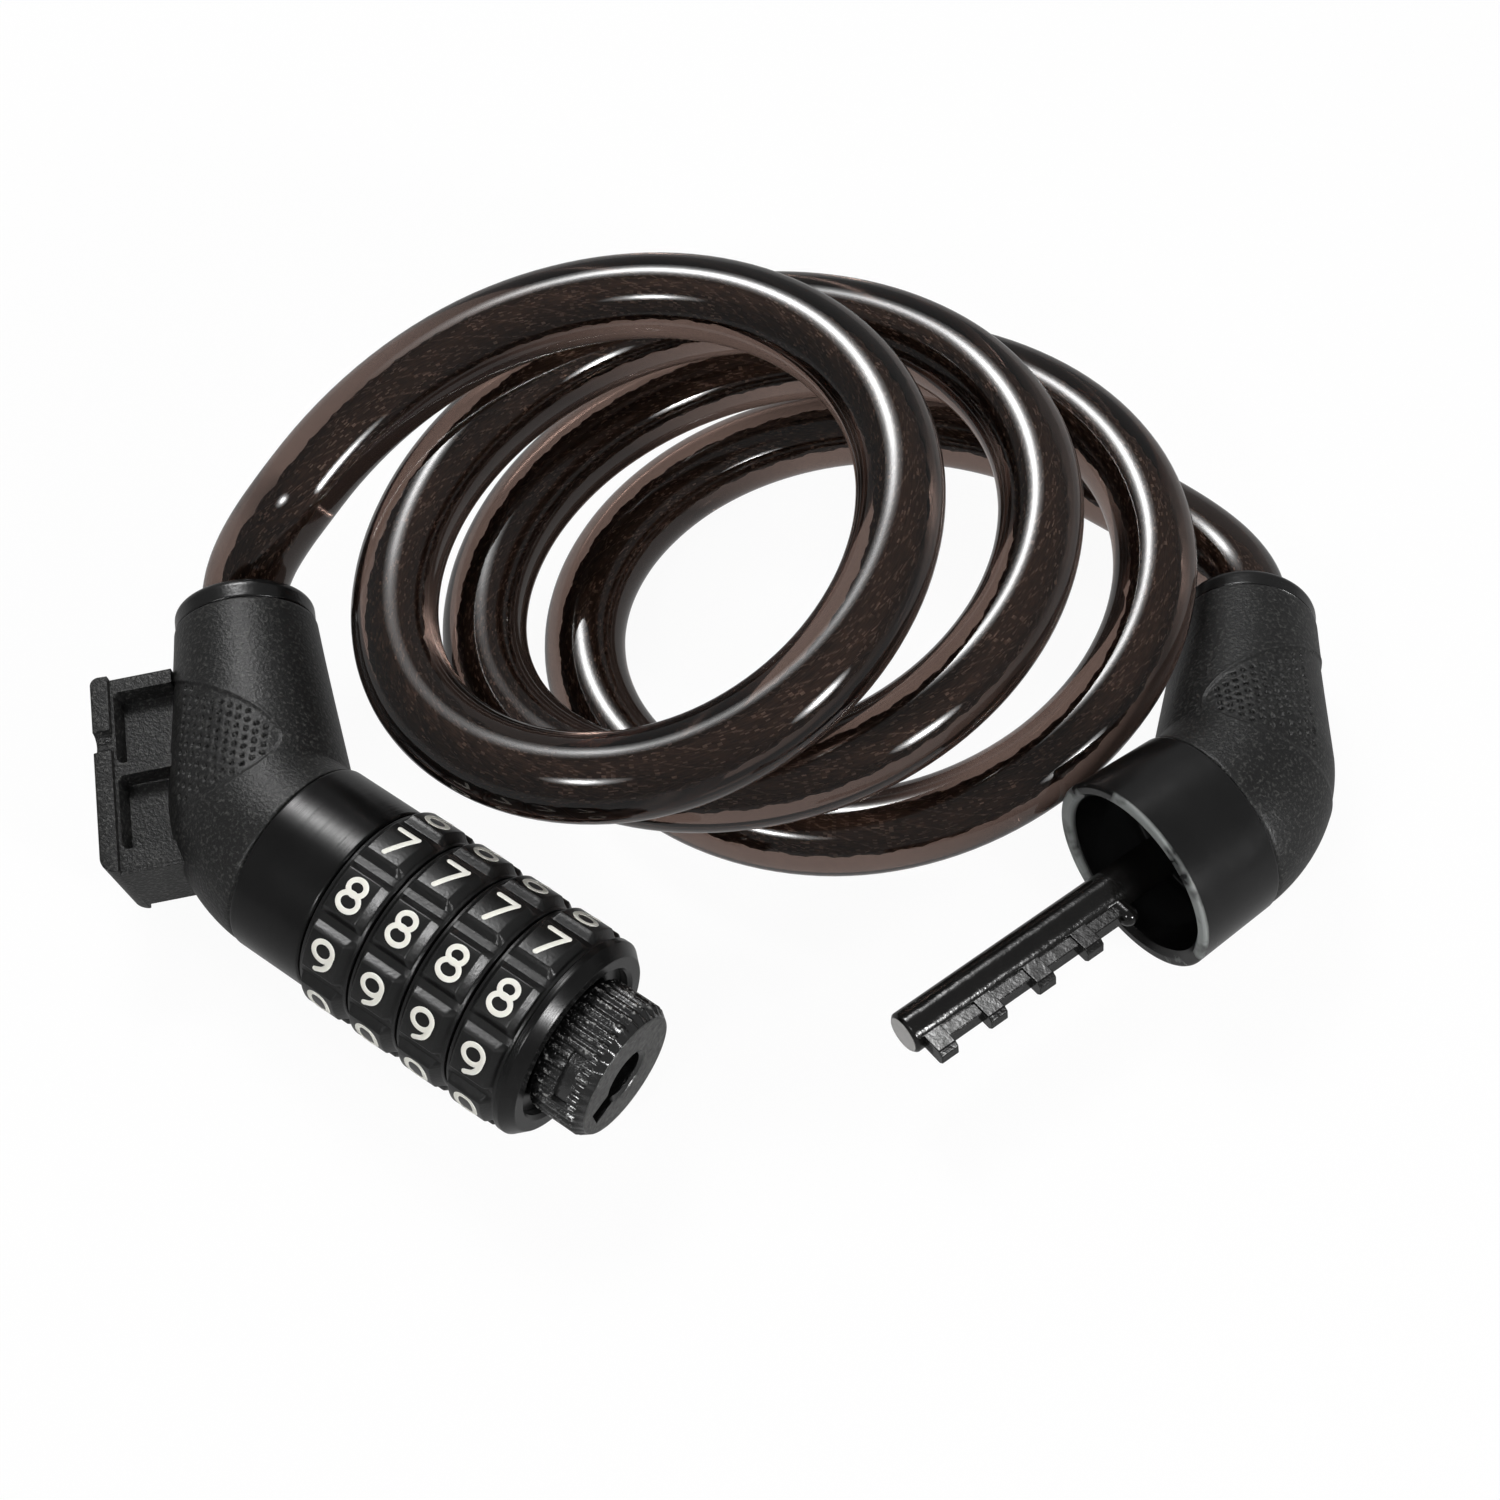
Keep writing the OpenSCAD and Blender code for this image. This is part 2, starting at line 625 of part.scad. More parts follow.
// Shroud: the glossy cup that closes over the knob.
module shroud() {
    r1 = shroud_d / 2;
    color("#121212") in_plug() lathe([
        [spigot_r + run_fit, boot_face], [ring_d / 2 - 0.5, boot_face], [ring_d / 2, boot_face + 0.5],
        [r1, rim_x - 0.6], [r1 - 0.6, rim_x], [cup_d / 2 + 0.8, rim_x], [cup_d / 2, rim_x - 0.8],
        [cup_d / 2, cup_x], [spigot_r + run_fit, cup_x]]);
}

// Lock pin: a round shaft with a rib, a peg near the shroud and one bit for each dial.
module lock_pin() {
    rib_reach = tube_r - 0.4;
    nose = 0.5;
    rib_end = pin_tip - bit_from_tip + bit_len / 2;
    color("#161616") in_plug() difference() {
        union() {
            lathe([[0, pin_start + slip], [pin_d / 2, pin_start + slip], [pin_d / 2, pin_tip - nose],
                   [pin_d / 2 - nose, pin_tip], [0, pin_tip]]);
            translate([peg_x, -rib_reach, -rib_w / 2]) cube([rib_end - peg_x, rib_reach, rib_w]);
            translate([peg_x, 0, 0]) rotate([90, 0, 0]) cylinder(d = bit_w, h = rib_reach);
            translate([peg_x, -rib_reach, 0]) sphere(d = bit_w);
            for (k = [0 : dial_count - 1])
                translate([pin_tip - bit_from_tip - k * dial_pitch, 0, 0]) pin_bit();
        }
        translate([dowel_x, 0, 0]) cylinder(r = dowel_r + run_fit, h = 2 * pin_d, center = true);
    }
}

// A bit: a block with its outer long edges bevelled.
module pin_bit() {
    bevel = 0.6;
    translate([-bit_len / 2, 0, 0]) rotate([90, 0, 90]) linear_extrude(height = bit_len)
        polygon([[0, -bit_w / 2], [-bit_reach + bevel, -bit_w / 2], [-bit_reach, -bit_w / 2 + bevel],
                 [-bit_reach, bit_w / 2 - bevel], [-bit_reach + bevel, bit_w / 2], [0, bit_w / 2]]);
}

module pin_dowel() {
    color("#c8c8c8") in_plug() translate([dowel_x, 0, 0])
        cylinder(r = dowel_r, h = 2 * sqrt(spigot_r * spigot_r - dowel_x * dowel_x) - 1, center = true);
}

// The cable: one unbroken tube along the route, straight where it enters each end ring.
function cable_ring(k) = let (t = way(k), l = unit([-t[1], t[0], 0]), u = cross(t, l))
    [for (i = [0 : sides - 1]) let (f = i * 360 / sides) route[k] + cable_r * (cos(f) * l + sin(f) * u)];

module cable_coil() {
    color("#4a3d38") skin([for (k = [0 : last]) cable_ring(k)]);
}

boot_head();
end_ring_head();
core_head();
ferrule_head();
rope_end_head();
cross_pin_head();
barrel_ring();
core_tube();
detent_spring();
end_collar();
retaining_clip();
reset_knob();
knob_pin();
cable_coil();
boot_plug();
end_ring_plug();
core_plug();
ferrule_plug();
rope_end_plug();
cross_pin_plug();
shroud();
lock_pin();
pin_dowel();
for (i = [1 : dial_count]) {
    dial(i - 1);
    code_ring(i - 1);
}
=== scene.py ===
"""A coiled combination cable lock, lying open on a pale floor. Sizes are in millimetres until a piece is made."""

import bpy
import numpy as np
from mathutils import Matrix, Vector


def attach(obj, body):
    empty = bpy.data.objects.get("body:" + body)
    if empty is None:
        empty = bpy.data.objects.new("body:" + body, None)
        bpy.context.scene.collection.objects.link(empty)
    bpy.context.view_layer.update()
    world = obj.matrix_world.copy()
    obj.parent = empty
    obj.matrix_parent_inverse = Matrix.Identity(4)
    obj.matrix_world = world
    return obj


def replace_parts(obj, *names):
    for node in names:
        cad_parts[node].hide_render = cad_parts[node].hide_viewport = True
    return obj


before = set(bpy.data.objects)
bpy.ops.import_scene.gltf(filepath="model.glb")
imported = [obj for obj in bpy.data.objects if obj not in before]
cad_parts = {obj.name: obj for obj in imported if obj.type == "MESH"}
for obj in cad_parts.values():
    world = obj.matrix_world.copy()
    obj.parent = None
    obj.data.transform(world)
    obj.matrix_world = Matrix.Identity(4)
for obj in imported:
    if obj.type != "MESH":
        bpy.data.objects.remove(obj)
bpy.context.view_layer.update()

# The camera looks down on the lock from the front left corner of its barrel.
# A long lens at arm's length keeps the near and far turns of the coil alike.
eye, look_at = Vector((132.3, -98.9, 293.35)) / 1000, Vector((25.84, 50.38, 0)) / 1000
lens = bpy.data.cameras.new("camera")
lens.lens, lens.sensor_width = 56.05, 36
camera = bpy.data.objects.new("camera", lens)
camera.location = eye
camera.rotation_euler = (look_at - eye).to_track_quat("-Z", "Y").to_euler()
bpy.context.collection.objects.link(camera)
bpy.context.scene.camera = camera
bpy.context.scene.view_settings.view_transform = "Standard"


# The floor is a sheet of white paper on a table, in a room whose white sweep stands at the back right. It shows white
# to the eye and keeps a faint contact shadow. Clear plastic looks through it to the sweep and to the dark on the left.
def linear(hex_code):
    """An sRGB hex colour as linear red, green, blue and alpha."""
    c = np.array([int(hex_code[i:i + 2], 16) for i in (0, 2, 4)]) / 255
    return (*np.where(c <= 0.04045, c / 12.92, ((c + 0.055) / 1.055) ** 2.4), 1)


def node(tree, kind, links=(), **settings):
    """Adds one node to a tree: links are (input, source socket or value) pairs, settings are its properties."""
    made = tree.nodes.new("ShaderNode" + kind)
    for name, value in settings.items():
        setattr(made, name, value)
    for name, value in dict(links).items():
        if isinstance(value, bpy.types.NodeSocket):
            tree.links.new(value, made.inputs[name])
        else:
            made.inputs[name].default_value = value
    return made


def fresh(name):
    """An empty material and its tree."""
    made = bpy.data.materials.new(name)
    made.use_nodes = True
    made.node_tree.nodes.clear()
    return made, made.node_tree


white_paper, tree = fresh("white_paper")
seen = node(tree, "LightPath").outputs
shown = node(tree, "Math", {0: seen["Is Camera Ray"], 1: 0.95, 2: seen["Is Glossy Ray"]}, operation="MULTIPLY_ADD")
bright = node(tree, "MapRange", {"Value": seen["Is Camera Ray"], "To Min": 0.4, "To Max": 1.0}).outputs[0]
paper = node(tree, "BsdfDiffuse", {"Color": linear("F4F4F4")}).outputs[0]
glow = node(tree, "Emission", {"Color": (1, 1, 1, 1), "Strength": bright}).outputs[0]
clear = node(tree, "BsdfTransparent").outputs[0]
both = node(tree, "MixShader", {0: shown.outputs[0], 1: paper, 2: glow}).outputs[0]
both = node(tree, "MixShader", {0: seen["Is Transmission Ray"], 1: both, 2: clear}).outputs[0]
node(tree, "OutputMaterial", {"Surface": both})
floor = bpy.data.meshes.new("floor")
floor.from_pydata([(-4, -4, 0), (4, -4, 0), (4, 4, 0), (-4, 4, 0)], [], [(0, 1, 2, 3)])
floor.materials.append(white_paper)
floor = bpy.data.objects.new("floor", floor)
bpy.context.collection.objects.link(floor)

# The room: an even dim light for the lock itself, and a white sweep at the back right for what its clear plastic shows.
world = bpy.data.worlds.new("room")
bpy.context.scene.world = world
world.use_nodes = True
tree = world.node_tree
tree.nodes.clear()
seen = node(tree, "LightPath").outputs
way = node(tree, "TexCoord").outputs["Generated"]
side = node(tree, "VectorMath", {0: way, 1: (0.5, 0.866, 0)}, operation="DOT_PRODUCT").outputs["Value"]
sweep = node(tree, "MapRange", {"Value": side, "From Min": 0.08, "From Max": 0.32, "To Min": 0.14}).outputs[0]
power = node(tree, "MapRange", {"Value": seen["Is Glossy Ray"], "To Min": 0.15, "To Max": 0.25}).outputs[0]
power = node(tree, "MapRange", {"Value": seen["Is Transmission Ray"], "To Min": power, "To Max": sweep}).outputs[0]
power = node(tree, "MapRange", {"Value": seen["Is Camera Ray"], "To Min": power, "To Max": 1.0}).outputs[0]
air = node(tree, "Background", {"Color": (1, 1, 1, 1), "Strength": power}).outputs[0]
node(tree, "OutputWorld", {"Surface": air})


BELL_WIDTH, BELL_FOOT = 0.16, 0.14


def lamp(name, place, aim, size, power):
    """A soft lamp, sizes in metres. Its light is a bell over its face, 1 / e to the (distance / width) squared."""
    light = bpy.data.lights.new(name, "AREA")
    light.shape, light.size, light.size_y, light.energy = "RECTANGLE", size[0], size[1], power
    light.use_nodes = True
    tree = light.node_tree
    tree.nodes.clear()
    at = node(tree, "NewGeometry").outputs["Parametric"]
    far = node(tree, "VectorMath", {0: at, 1: (0.5, 0.5, 0)}, operation="DISTANCE").outputs["Value"]
    bell = node(tree, "Math", {0: far, 1: 1 / BELL_WIDTH}, operation="MULTIPLY").outputs[0]
    bell = node(tree, "Math", {0: bell, 1: 2}, operation="POWER").outputs[0]
    bell = node(tree, "Math", {0: 0.3679, 1: bell}, operation="POWER").outputs[0]
    edge = node(tree, "MapRange", {"Value": far, "From Min": 0.5, "From Max": 0.1, "To Max": BELL_FOOT}).outputs[0]
    bell = node(tree, "Math", {0: bell, 1: edge}, operation="ADD").outputs[0]
    node(tree, "OutputLight", {"Surface": node(tree, "Emission", {"Strength": bell}).outputs[0]})
    made = bpy.data.objects.new(name, light)
    made.location = place
    made.rotation_euler = (Vector(aim) - Vector(place)).to_track_quat("-Z", "Y").to_euler()
    bpy.context.collection.objects.link(made)


centre = Vector((0.03, 0.05, 0.02))


def towards(azimuth, elevation, distance=0.8):
    """A place that far from the lock's middle, in degrees round from +X and up from the floor."""
    a, e = np.radians(azimuth), np.radians(elevation)
    return centre + distance * Vector((np.cos(e) * np.cos(a), np.cos(e) * np.sin(a), np.sin(e)))


# A wide box behind on the left draws the long streaks; two small lamps at the right and the front draw the short ones.
lamp("back_left_box", towards(147, 53), centre, (0.62, 0.5), 28.0)
lamp("right_lamp", towards(-6, 26), centre, (0.30, 0.30), 28.0)
lamp("front_lamp", towards(-90, 42), centre, (0.36, 0.24), 13.0)


# Cable: a steel wire rope drawn into a clear smoky PVC sheath, wound warm so that it keeps its coil.
# The sheath is glass-smooth plastic that shows the dark rope inside it and a brown tint at its edges.
CABLE_D, ROPE_D = 12.0, 4.6
NECK_LEN, BOOT_FACE = 35.5, 6.5
HEAD_AT, HEAD_ROLL = np.array([-15.134, -7.01473, 15.0]), 9.0
PLUG_AT, PLUG_TURN, PLUG_ROLL = np.array([91.5, 76.0, 14.6]), -108.0, 10.0
ELBOW = 45.0
HALF_TURNS = np.array([[-0.5, 14, 33.5], [-6, 48, 47], [10, 56, 39], [14, 70, 39],
                       [21.5, 61.5, 41], [24.5, 73.5, 46], [22, 71.5, 33.5], [36.5, 86.5, 38]])
QUARTER_HEIGHTS = np.array([[18.5, 42.5, 48.5, 37, 29.5, 31.5, 34, 28, 18.5, 19, 23, 10, 6.5, 7.5, 7]]).T
COIL_START, JOIN_IN, JOIN_OUT = 215.5, 50.0, 1220.0


def turned(points, axis, degrees):
    """Points turned about X (axis 0) or Z (axis 2) by the right-hand rule."""
    a = np.radians(degrees)
    c, s = np.cos(a), np.sin(a)
    m = [[1, 0, 0], [0, c, -s], [0, s, c]] if axis == 0 else [[c, -s, 0], [s, c, 0], [0, 0, 1]]
    return np.asarray(points, float) @ np.array(m).T


def neck(points):
    """From the neck's own axes, +X out along it, to the barrel's axes: a turn about Z by 180 less the elbow."""
    return turned(points, 2, 180 - ELBOW)


def in_head(points):
    """From the barrel's axes to the row: rolled about X, then moved to where the head lies."""
    return turned(points, 0, HEAD_ROLL) + HEAD_AT


def in_plug(points):
    """From the pin's axes to the row: mirrored in Y, rolled about X, turned about Z and moved."""
    return turned(turned(np.asarray(points) * [1, -1, 1], 0, PLUG_ROLL), 2, PLUG_TURN) + PLUG_AT


def eased(knots, t):
    """A smooth curve through the knots at t = 0, 1, 2...: each span is the Catmull-Rom cubic of its four knots."""
    k = np.vstack([2 * knots[0] - knots[1], knots, 2 * knots[-1] - knots[-2]])
    i = np.minimum(np.floor(t).astype(int), len(knots) - 2)
    x = (t - i)[:, None]
    a, b, c, d = k[i], k[i + 1], k[i + 2], k[i + 3]
    return (2 * b + (c - a) * x + (2 * a - 5 * b + 4 * c - d) * x ** 2 + (3 * b - a - 3 * c + d) * x ** 3) / 2


def coil(degrees):
    """Points of the coil: a circle whose middle and radius drift with each half turn, and height with each quarter."""
    degrees = np.atleast_1d(np.asarray(degrees, float))
    c, z = eased(HALF_TURNS, degrees / 180), eased(QUARTER_HEIGHTS, degrees / 90)
    phi = np.radians(COIL_START - degrees)
    return np.stack([c[:, 0] + c[:, 2] * np.cos(phi), c[:, 1] + c[:, 2] * np.sin(phi), z[:, 0]], 1)


def joined(p, u, q, v, n):
    """n points of a Hermite cubic from p along u to q along v, its pull a little over the chord."""
    x = np.linspace(0, 1, n)[:, None]
    pull = np.linalg.norm(q - p) * 1.05
    return ((2 * x ** 3 - 3 * x ** 2 + 1) * p + (x ** 3 - 2 * x ** 2 + x) * u * pull
            + (3 * x ** 2 - 2 * x ** 3) * q + (x ** 3 - x ** 2) * v * pull)


def unit(v):
    """Vectors divided by their lengths."""
    return v / np.linalg.norm(v, axis=-1, keepdims=True)


def coil_way(degrees):
    """The coil's direction there, from the points a degree before and after."""
    return unit(coil(degrees + 1)[0] - coil(degrees - 1)[0])


head_out = in_head(neck([1, 0, 0])) - HEAD_AT
plug_out = in_plug(neck([1, 0, 0])) - PLUG_AT
head_exit, plug_exit = HEAD_AT + head_out * NECK_LEN, PLUG_AT + plug_out * NECK_LEN
straight_in = head_exit - head_out * np.linspace(CABLE_D, 0, 8)[:-1, None]
straight_out = plug_exit - plug_out * np.linspace(0, CABLE_D, 8)[1:, None]
route = np.vstack([straight_in,
                   joined(head_exit, head_out, coil(JOIN_IN)[0], coil_way(JOIN_IN), 30)[:-1],
                   coil(np.arange(JOIN_IN, JOIN_OUT + 0.1, 2.5)),
                   joined(coil(JOIN_OUT)[0], coil_way(JOIN_OUT), plug_exit, -plug_out, 30)[1:],
                   straight_out])
run = np.concatenate([[0], np.cumsum(np.linalg.norm(np.diff(route, axis=0), axis=1))])


def framed(points):
    """Along a path: its direction, the level direction to its left, and the one square to both."""
    way = unit(np.gradient(points, axis=0))
    left = unit(np.cross([0, 0, 1.0], way))
    return way, left, np.cross(way, left)


def put(name, points, faces, material, body, uv=None, corner=None):
    """Makes one piece from points in millimetres. Its faces are turned outwards if its volume comes out negative."""
    points = np.asarray(points, float)
    fan = np.array([(f[0], f[i], f[i + 1]) for f in faces if len(f) != 4 for i in range(1, len(f) - 1)]).reshape(-1, 3)
    quads = np.array([f for f in faces if len(f) == 4]).reshape(-1, 4)
    tri = np.vstack([fan, quads[:, :3], quads[:, [0, 2, 3]]]).astype(int)
    a, b, c = points[tri[:, 0]], points[tri[:, 1]], points[tri[:, 2]]
    if np.einsum("ij,ij->i", a, np.cross(b, c)).sum() < 0:
        faces = [tuple(f)[::-1] for f in faces]
    mesh = bpy.data.meshes.new(name)
    mesh.from_pydata((points / 1000).tolist(), [], [tuple(int(k) for k in f) for f in faces])
    if uv is not None:
        layer = mesh.uv_layers.new(name="surface")
        order = np.empty(len(mesh.loops), int)
        mesh.loops.foreach_get("vertex_index", order)
        layer.data.foreach_set("uv", np.asarray(uv, float)[order].ravel())
    mesh.shade_smooth()
    if corner:
        mesh.set_sharp_from_angle(angle=np.radians(corner))
    mesh.materials.append(material)
    made = bpy.data.objects.new(name, mesh)
    bpy.context.collection.objects.link(made)
    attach(made, body)
    return made


def skin_faces(rows, sides, loop=False):
    """Quads over a grid of rows that close round on themselves, with flat ends, or joined end to start."""
    i, j = np.meshgrid(np.arange(rows if loop else rows - 1), np.arange(sides), indexing="ij")
    i, j = i.ravel(), j.ravel()
    up, on = (i + 1) % rows, (j + 1) % sides
    quads = np.stack([i * sides + j, up * sides + j, up * sides + on, i * sides + on], 1).tolist()
    return quads if loop else quads + [list(range(sides)), list(range((rows - 1) * sides, rows * sides))[::-1]]


def tube(points, radius, sides):
    """A round tube carried along a path; radius may be a (points, sides) array."""
    way, left, up = framed(points)
    f = np.linspace(0, 2 * np.pi, sides, endpoint=False)[None, :, None]
    radius = np.broadcast_to(radius, (len(points), sides))[:, :, None]
    return points[:, None] + radius * (np.cos(f) * left[:, None] + np.sin(f) * up[:, None])


# PVC is a clear plastic; smoke-brown dye takes about half of the light through it. Drawn through a polished die.
sheath_pvc, tree = fresh("smoky_pvc")
skin = node(tree, "BsdfPrincipled", {"Base Color": linear("62514A"), "Roughness": 0.03, "IOR": 1.5,
                                     "Transmission Weight": 1.0})
where = node(tree, "TexCoord").outputs["Object"]
ripple = node(tree, "TexNoise", {"Vector": where, "Scale": 60.0, "Detail": 1.0}).outputs["Fac"]
ripple = node(tree, "Bump", {"Height": ripple, "Distance": 0.0004, "Strength": 0.25}).outputs[0]
tree.links.new(ripple, skin.inputs["Normal"])
node(tree, "OutputMaterial", {"Surface": skin.outputs[0]})


def tube_piece(name, radius, sides, material):
    """A tube along the cable's route as a piece, with (millimetres along, share of the way round) coordinates."""
    uv = np.stack(np.meshgrid(run, np.arange(sides) / sides, indexing="ij"), -1).reshape(-1, 2)
    ring = tube(route, radius, sides).reshape(-1, 3)
    return put(name, ring, skin_faces(len(route), sides), material, "lock", uv)


sheath = tube_piece("cable_sheath", CABLE_D / 2, 40, sheath_pvc)
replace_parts(sheath, "cable_coil")

# The rope is six fine-wire strands laid 32 mm to the turn round a core. Its galvanised wires run nearly along it.
# Their glints are painted highlights: short warm specks in its colour, drawn 0.2 mm wide, a little coarser than the
# wires, so that they show, and light lines at one edge of each strand.
LAY, WIRE_LAY, STRANDS, WIRES, ROPE_SIDES = 32.0, 150.0, 6, 90, 72
strand = np.linspace(0, 2 * np.pi, ROPE_SIDES, endpoint=False)[None]
twist = 2 * np.pi * run[:, None] / LAY
off = (strand - twist + np.pi / STRANDS) % (2 * np.pi / STRANDS) - np.pi / STRANDS
STRAND_R = ROPE_D / 6
bundle = 2 * STRAND_R * np.cos(off) + np.sqrt(np.clip(STRAND_R ** 2 - (2 * STRAND_R * np.sin(off)) ** 2, 0, None))
bundle = np.maximum(bundle, ROPE_D * 0.40)
wire_rope, tree = fresh("steel_wire_rope")


def surface(tree):
    """A piece's own surface coordinates: X is how far along it, Y how far round or, on a turned piece, its radius."""
    return node(tree, "SeparateXYZ", {"Vector": node(tree, "UVMap", uv_map="surface").outputs[0]}).outputs


spot = surface(tree)


def wires(lay, count, length):
    """Noise coordinates that follow a lay: so many cells round the rope, each so many millimetres long."""
    slant = node(tree, "Math", {0: spot["X"], 1: -1 / lay, 2: spot["Y"]}, operation="MULTIPLY_ADD").outputs[0]
    round_it = node(tree, "Math", {0: slant, 1: float(count)}, operation="MULTIPLY").outputs[0]
    along_it = node(tree, "Math", {0: spot["X"], 1: 1 / length}, operation="MULTIPLY").outputs[0]
    return node(tree, "CombineXYZ", {"X": along_it, "Y": round_it}).outputs[0]


grain = node(tree, "TexNoise", {"Vector": wires(WIRE_LAY, WIRES, 2.2), "Scale": 1.0, "Detail": 2.0}).outputs["Fac"]
patch = node(tree, "TexNoise", {"Vector": wires(LAY, STRANDS, 5.0), "Scale": 1.0, "Detail": 2.0}).outputs["Fac"]
# Painted highlights: pale cells along the wires and light lines at one edge of each strand, in place of the wires'
# glints.
cells = node(tree, "VectorMath", {0: wires(WIRE_LAY, WIRES, 0.6)}, operation="FLOOR").outputs[0]
painted_glint = node(tree, "TexWhiteNoise", {"Vector": cells}, noise_dimensions="2D").outputs["Value"]
painted_glint = node(tree, "Math", {0: patch, 1: 0.6, 2: painted_glint}, operation="MULTIPLY_ADD").outputs[0]
painted_glint = node(tree, "MapRange", {"Value": painted_glint, "From Min": 1.14, "From Max": 1.40}).outputs[0]
painted_seam_glint = node(tree, "SeparateXYZ", {"Vector": wires(LAY, STRANDS, 1.0)}).outputs["Y"]
painted_seam_glint = node(tree, "Math", {0: painted_seam_glint}, operation="FRACT").outputs[0]
painted_seam_glint = node(tree, "Math", {0: painted_seam_glint, 1: 0.56}, operation="SUBTRACT").outputs[0]
painted_seam_glint = node(tree, "Math", {0: painted_seam_glint}, operation="ABSOLUTE").outputs[0]
painted_seam_glint = node(tree, "MapRange", {"Value": painted_seam_glint, "From Min": 0.07, "From Max": 0.02}).outputs[0]
broken = node(tree, "MapRange", {"Value": grain, "From Min": 0.42, "From Max": 0.7, "To Max": 0.7}).outputs[0]
painted_seam_glint = node(tree, "Math", {0: painted_seam_glint, 1: broken}, operation="MULTIPLY").outputs[0]
painted_glint = node(tree, "Math", {0: painted_glint, 1: painted_seam_glint}, operation="MAXIMUM").outputs[0]
dark = node(tree, "MixRGB", {"Fac": grain, "Color1": linear("1A1513"), "Color2": linear("948374")}).outputs[0]
tone = node(tree, "MixRGB", {"Fac": painted_glint, "Color1": dark, "Color2": linear("F6E6D8")}).outputs[0]
rise = node(tree, "Bump", {"Height": grain, "Distance": 0.0001, "Strength": 0.8}).outputs[0]
steel = node(tree, "BsdfPrincipled", {"Base Color": tone, "Metallic": 0.4, "Roughness": 0.45, "Normal": rise})
node(tree, "OutputMaterial", {"Surface": steel.outputs[0]})
tube_piece("wire_rope", bundle, ROPE_SIDES, wire_rope)


# Boots: ABS shells moulded in one piece over each end's core, in a mould spark-eroded to a fine matt grain that
# scatters the light. Pale flecks painted into its colour stand in for the grain's sparkle, a painted highlight. A grip
# pad with rows of dimples lies on the outside of each bend, inside a fine raised line.
BOOT_D, NECK_D, LIP_LEN = 27.8, 20.2, 3.4
LIP_S, SLEEVE_R, SPIGOT_R, SPIGOT_LEN = NECK_LEN - LIP_LEN, 8.3, 9.5, 17.5
BEND_R = BOOT_FACE / np.tan(np.radians(ELBOW / 2))
BEND_LEN = BEND_R * np.radians(ELBOW)
BOOT_LEN = BEND_LEN + LIP_S - BOOT_FACE
PAD_TIP_S, PAD_TIP_ARC, PAD_BACK = 14.0, 26.0, 8.5
DIMPLE_STEP, DIMPLE_R, DIMPLE_DEEP, PAD_DEEP, LINE_HIGH = 1.40, 0.30, 0.42, 0.22, 0.12


def boot_r(s):
    """The boot's radius along its middle line: mostly a straight taper, eased at both ends."""
    t = s / BOOT_LEN
    return BOOT_D / 2 + (NECK_D - BOOT_D) / 2 * (0.8 * t + 0.2 * t * t * (3 - 2 * t))


def bent(s):
    """The boot's middle line from the barrel face, an arc and then straight: its points and the way out of the bend."""
    a = np.minimum(s, BEND_LEN) / BEND_R
    rest = np.maximum(s - BEND_LEN, 0)
    x = BOOT_FACE - BEND_R * np.sin(a) - rest * np.cos(a)
    y = BEND_R - BEND_R * np.cos(a) + rest * np.sin(a)
    return np.stack([x, y, 0 * x], -1), np.stack([-np.sin(a), -np.cos(a), 0 * a], -1)


def boot_rings(s, f, r):
    """Rings of radius r square to the middle line. Angle 0 is out of the bend, and 90 degrees is up."""
    p, out = bent(s)
    return p[:, None] + np.broadcast_to(r, (len(s), len(f)))[:, :, None] * (
        np.cos(f)[None, :, None] * out[:, None] + np.sin(f)[None, :, None] * np.array([0, 0, 1.0]))


def step(edge, x, width):
    """0 before the edge and 1 after it, eased over a width."""
    t = np.clip((x - edge) / width + 0.5, 0, 1)
    return t * t * (3 - 2 * t)


def black_plastic(name, gloss, dark="0B0B0B", light="141414", scale=160.0, detail=4.0, grain=0.6):
    """Starts a black plastic: tone and roughness follow one soft cloud. Gives them, its tree and its coordinates."""
    made, tree = fresh(name)
    where = node(tree, "TexCoord").outputs["Object"]
    cloud = node(tree, "TexNoise", {"Vector": where, "Scale": scale, "Detail": detail, "Roughness": grain})
    tone = node(tree, "MixRGB", {"Fac": cloud.outputs["Fac"], "Color1": linear(dark), "Color2": linear(light)})
    rough = node(tree, "MapRange", {"Value": cloud.outputs["Fac"], "To Min": gloss[0], "To Max": gloss[1]})
    return made, tree, where, tone.outputs[0], rough.outputs[0]


def shell(tree, tone, rough, rise, ior, specular):
    """Ends a plastic: links its tone, roughness and bump, and sets its index and the strength of its shine."""
    skin = node(tree, "BsdfPrincipled", {"Base Color": tone, "Roughness": rough, "Normal": rise, "IOR": ior,
                                         "Specular IOR Level": specular})
    node(tree, "OutputMaterial", {"Surface": skin.outputs[0]})


matt_abs, tree, where, tone, rough = black_plastic("moulded_matt_abs", (0.38, 0.5), "101010", "181818", 90.0, 3.0, 0.5)
grit = node(tree, "TexNoise", {"Vector": where, "Scale": 2100.0, "Detail": 2.0, "Roughness": 0.6}).outputs["Fac"]
# Pale flecks in the colour are a painted highlight, standing in for the grain's sparkle.
painted_sparkle = node(tree, "MapRange", {"Value": grit, "From Min": 0.52, "From Max": 0.72}).outputs[0]
tone = node(tree, "MixRGB", {"Fac": painted_sparkle, "Color1": tone, "Color2": linear("424240")}).outputs[0]
rise = node(tree, "Bump", {"Height": grit, "Distance": 0.0002, "Strength": 0.55}).outputs[0]
shell(tree, tone, rough, rise, 1.5, 0.4)


def pad_edges(back):
    """A pad's upper and lower edges along the boot, so far back from its tip: a root and an exponential ease."""
    return PAD_TIP_S + 2.1 * np.sqrt(back) + 0.28 * back, PAD_TIP_S - 5.5 * (1 - np.exp(-back / 2))


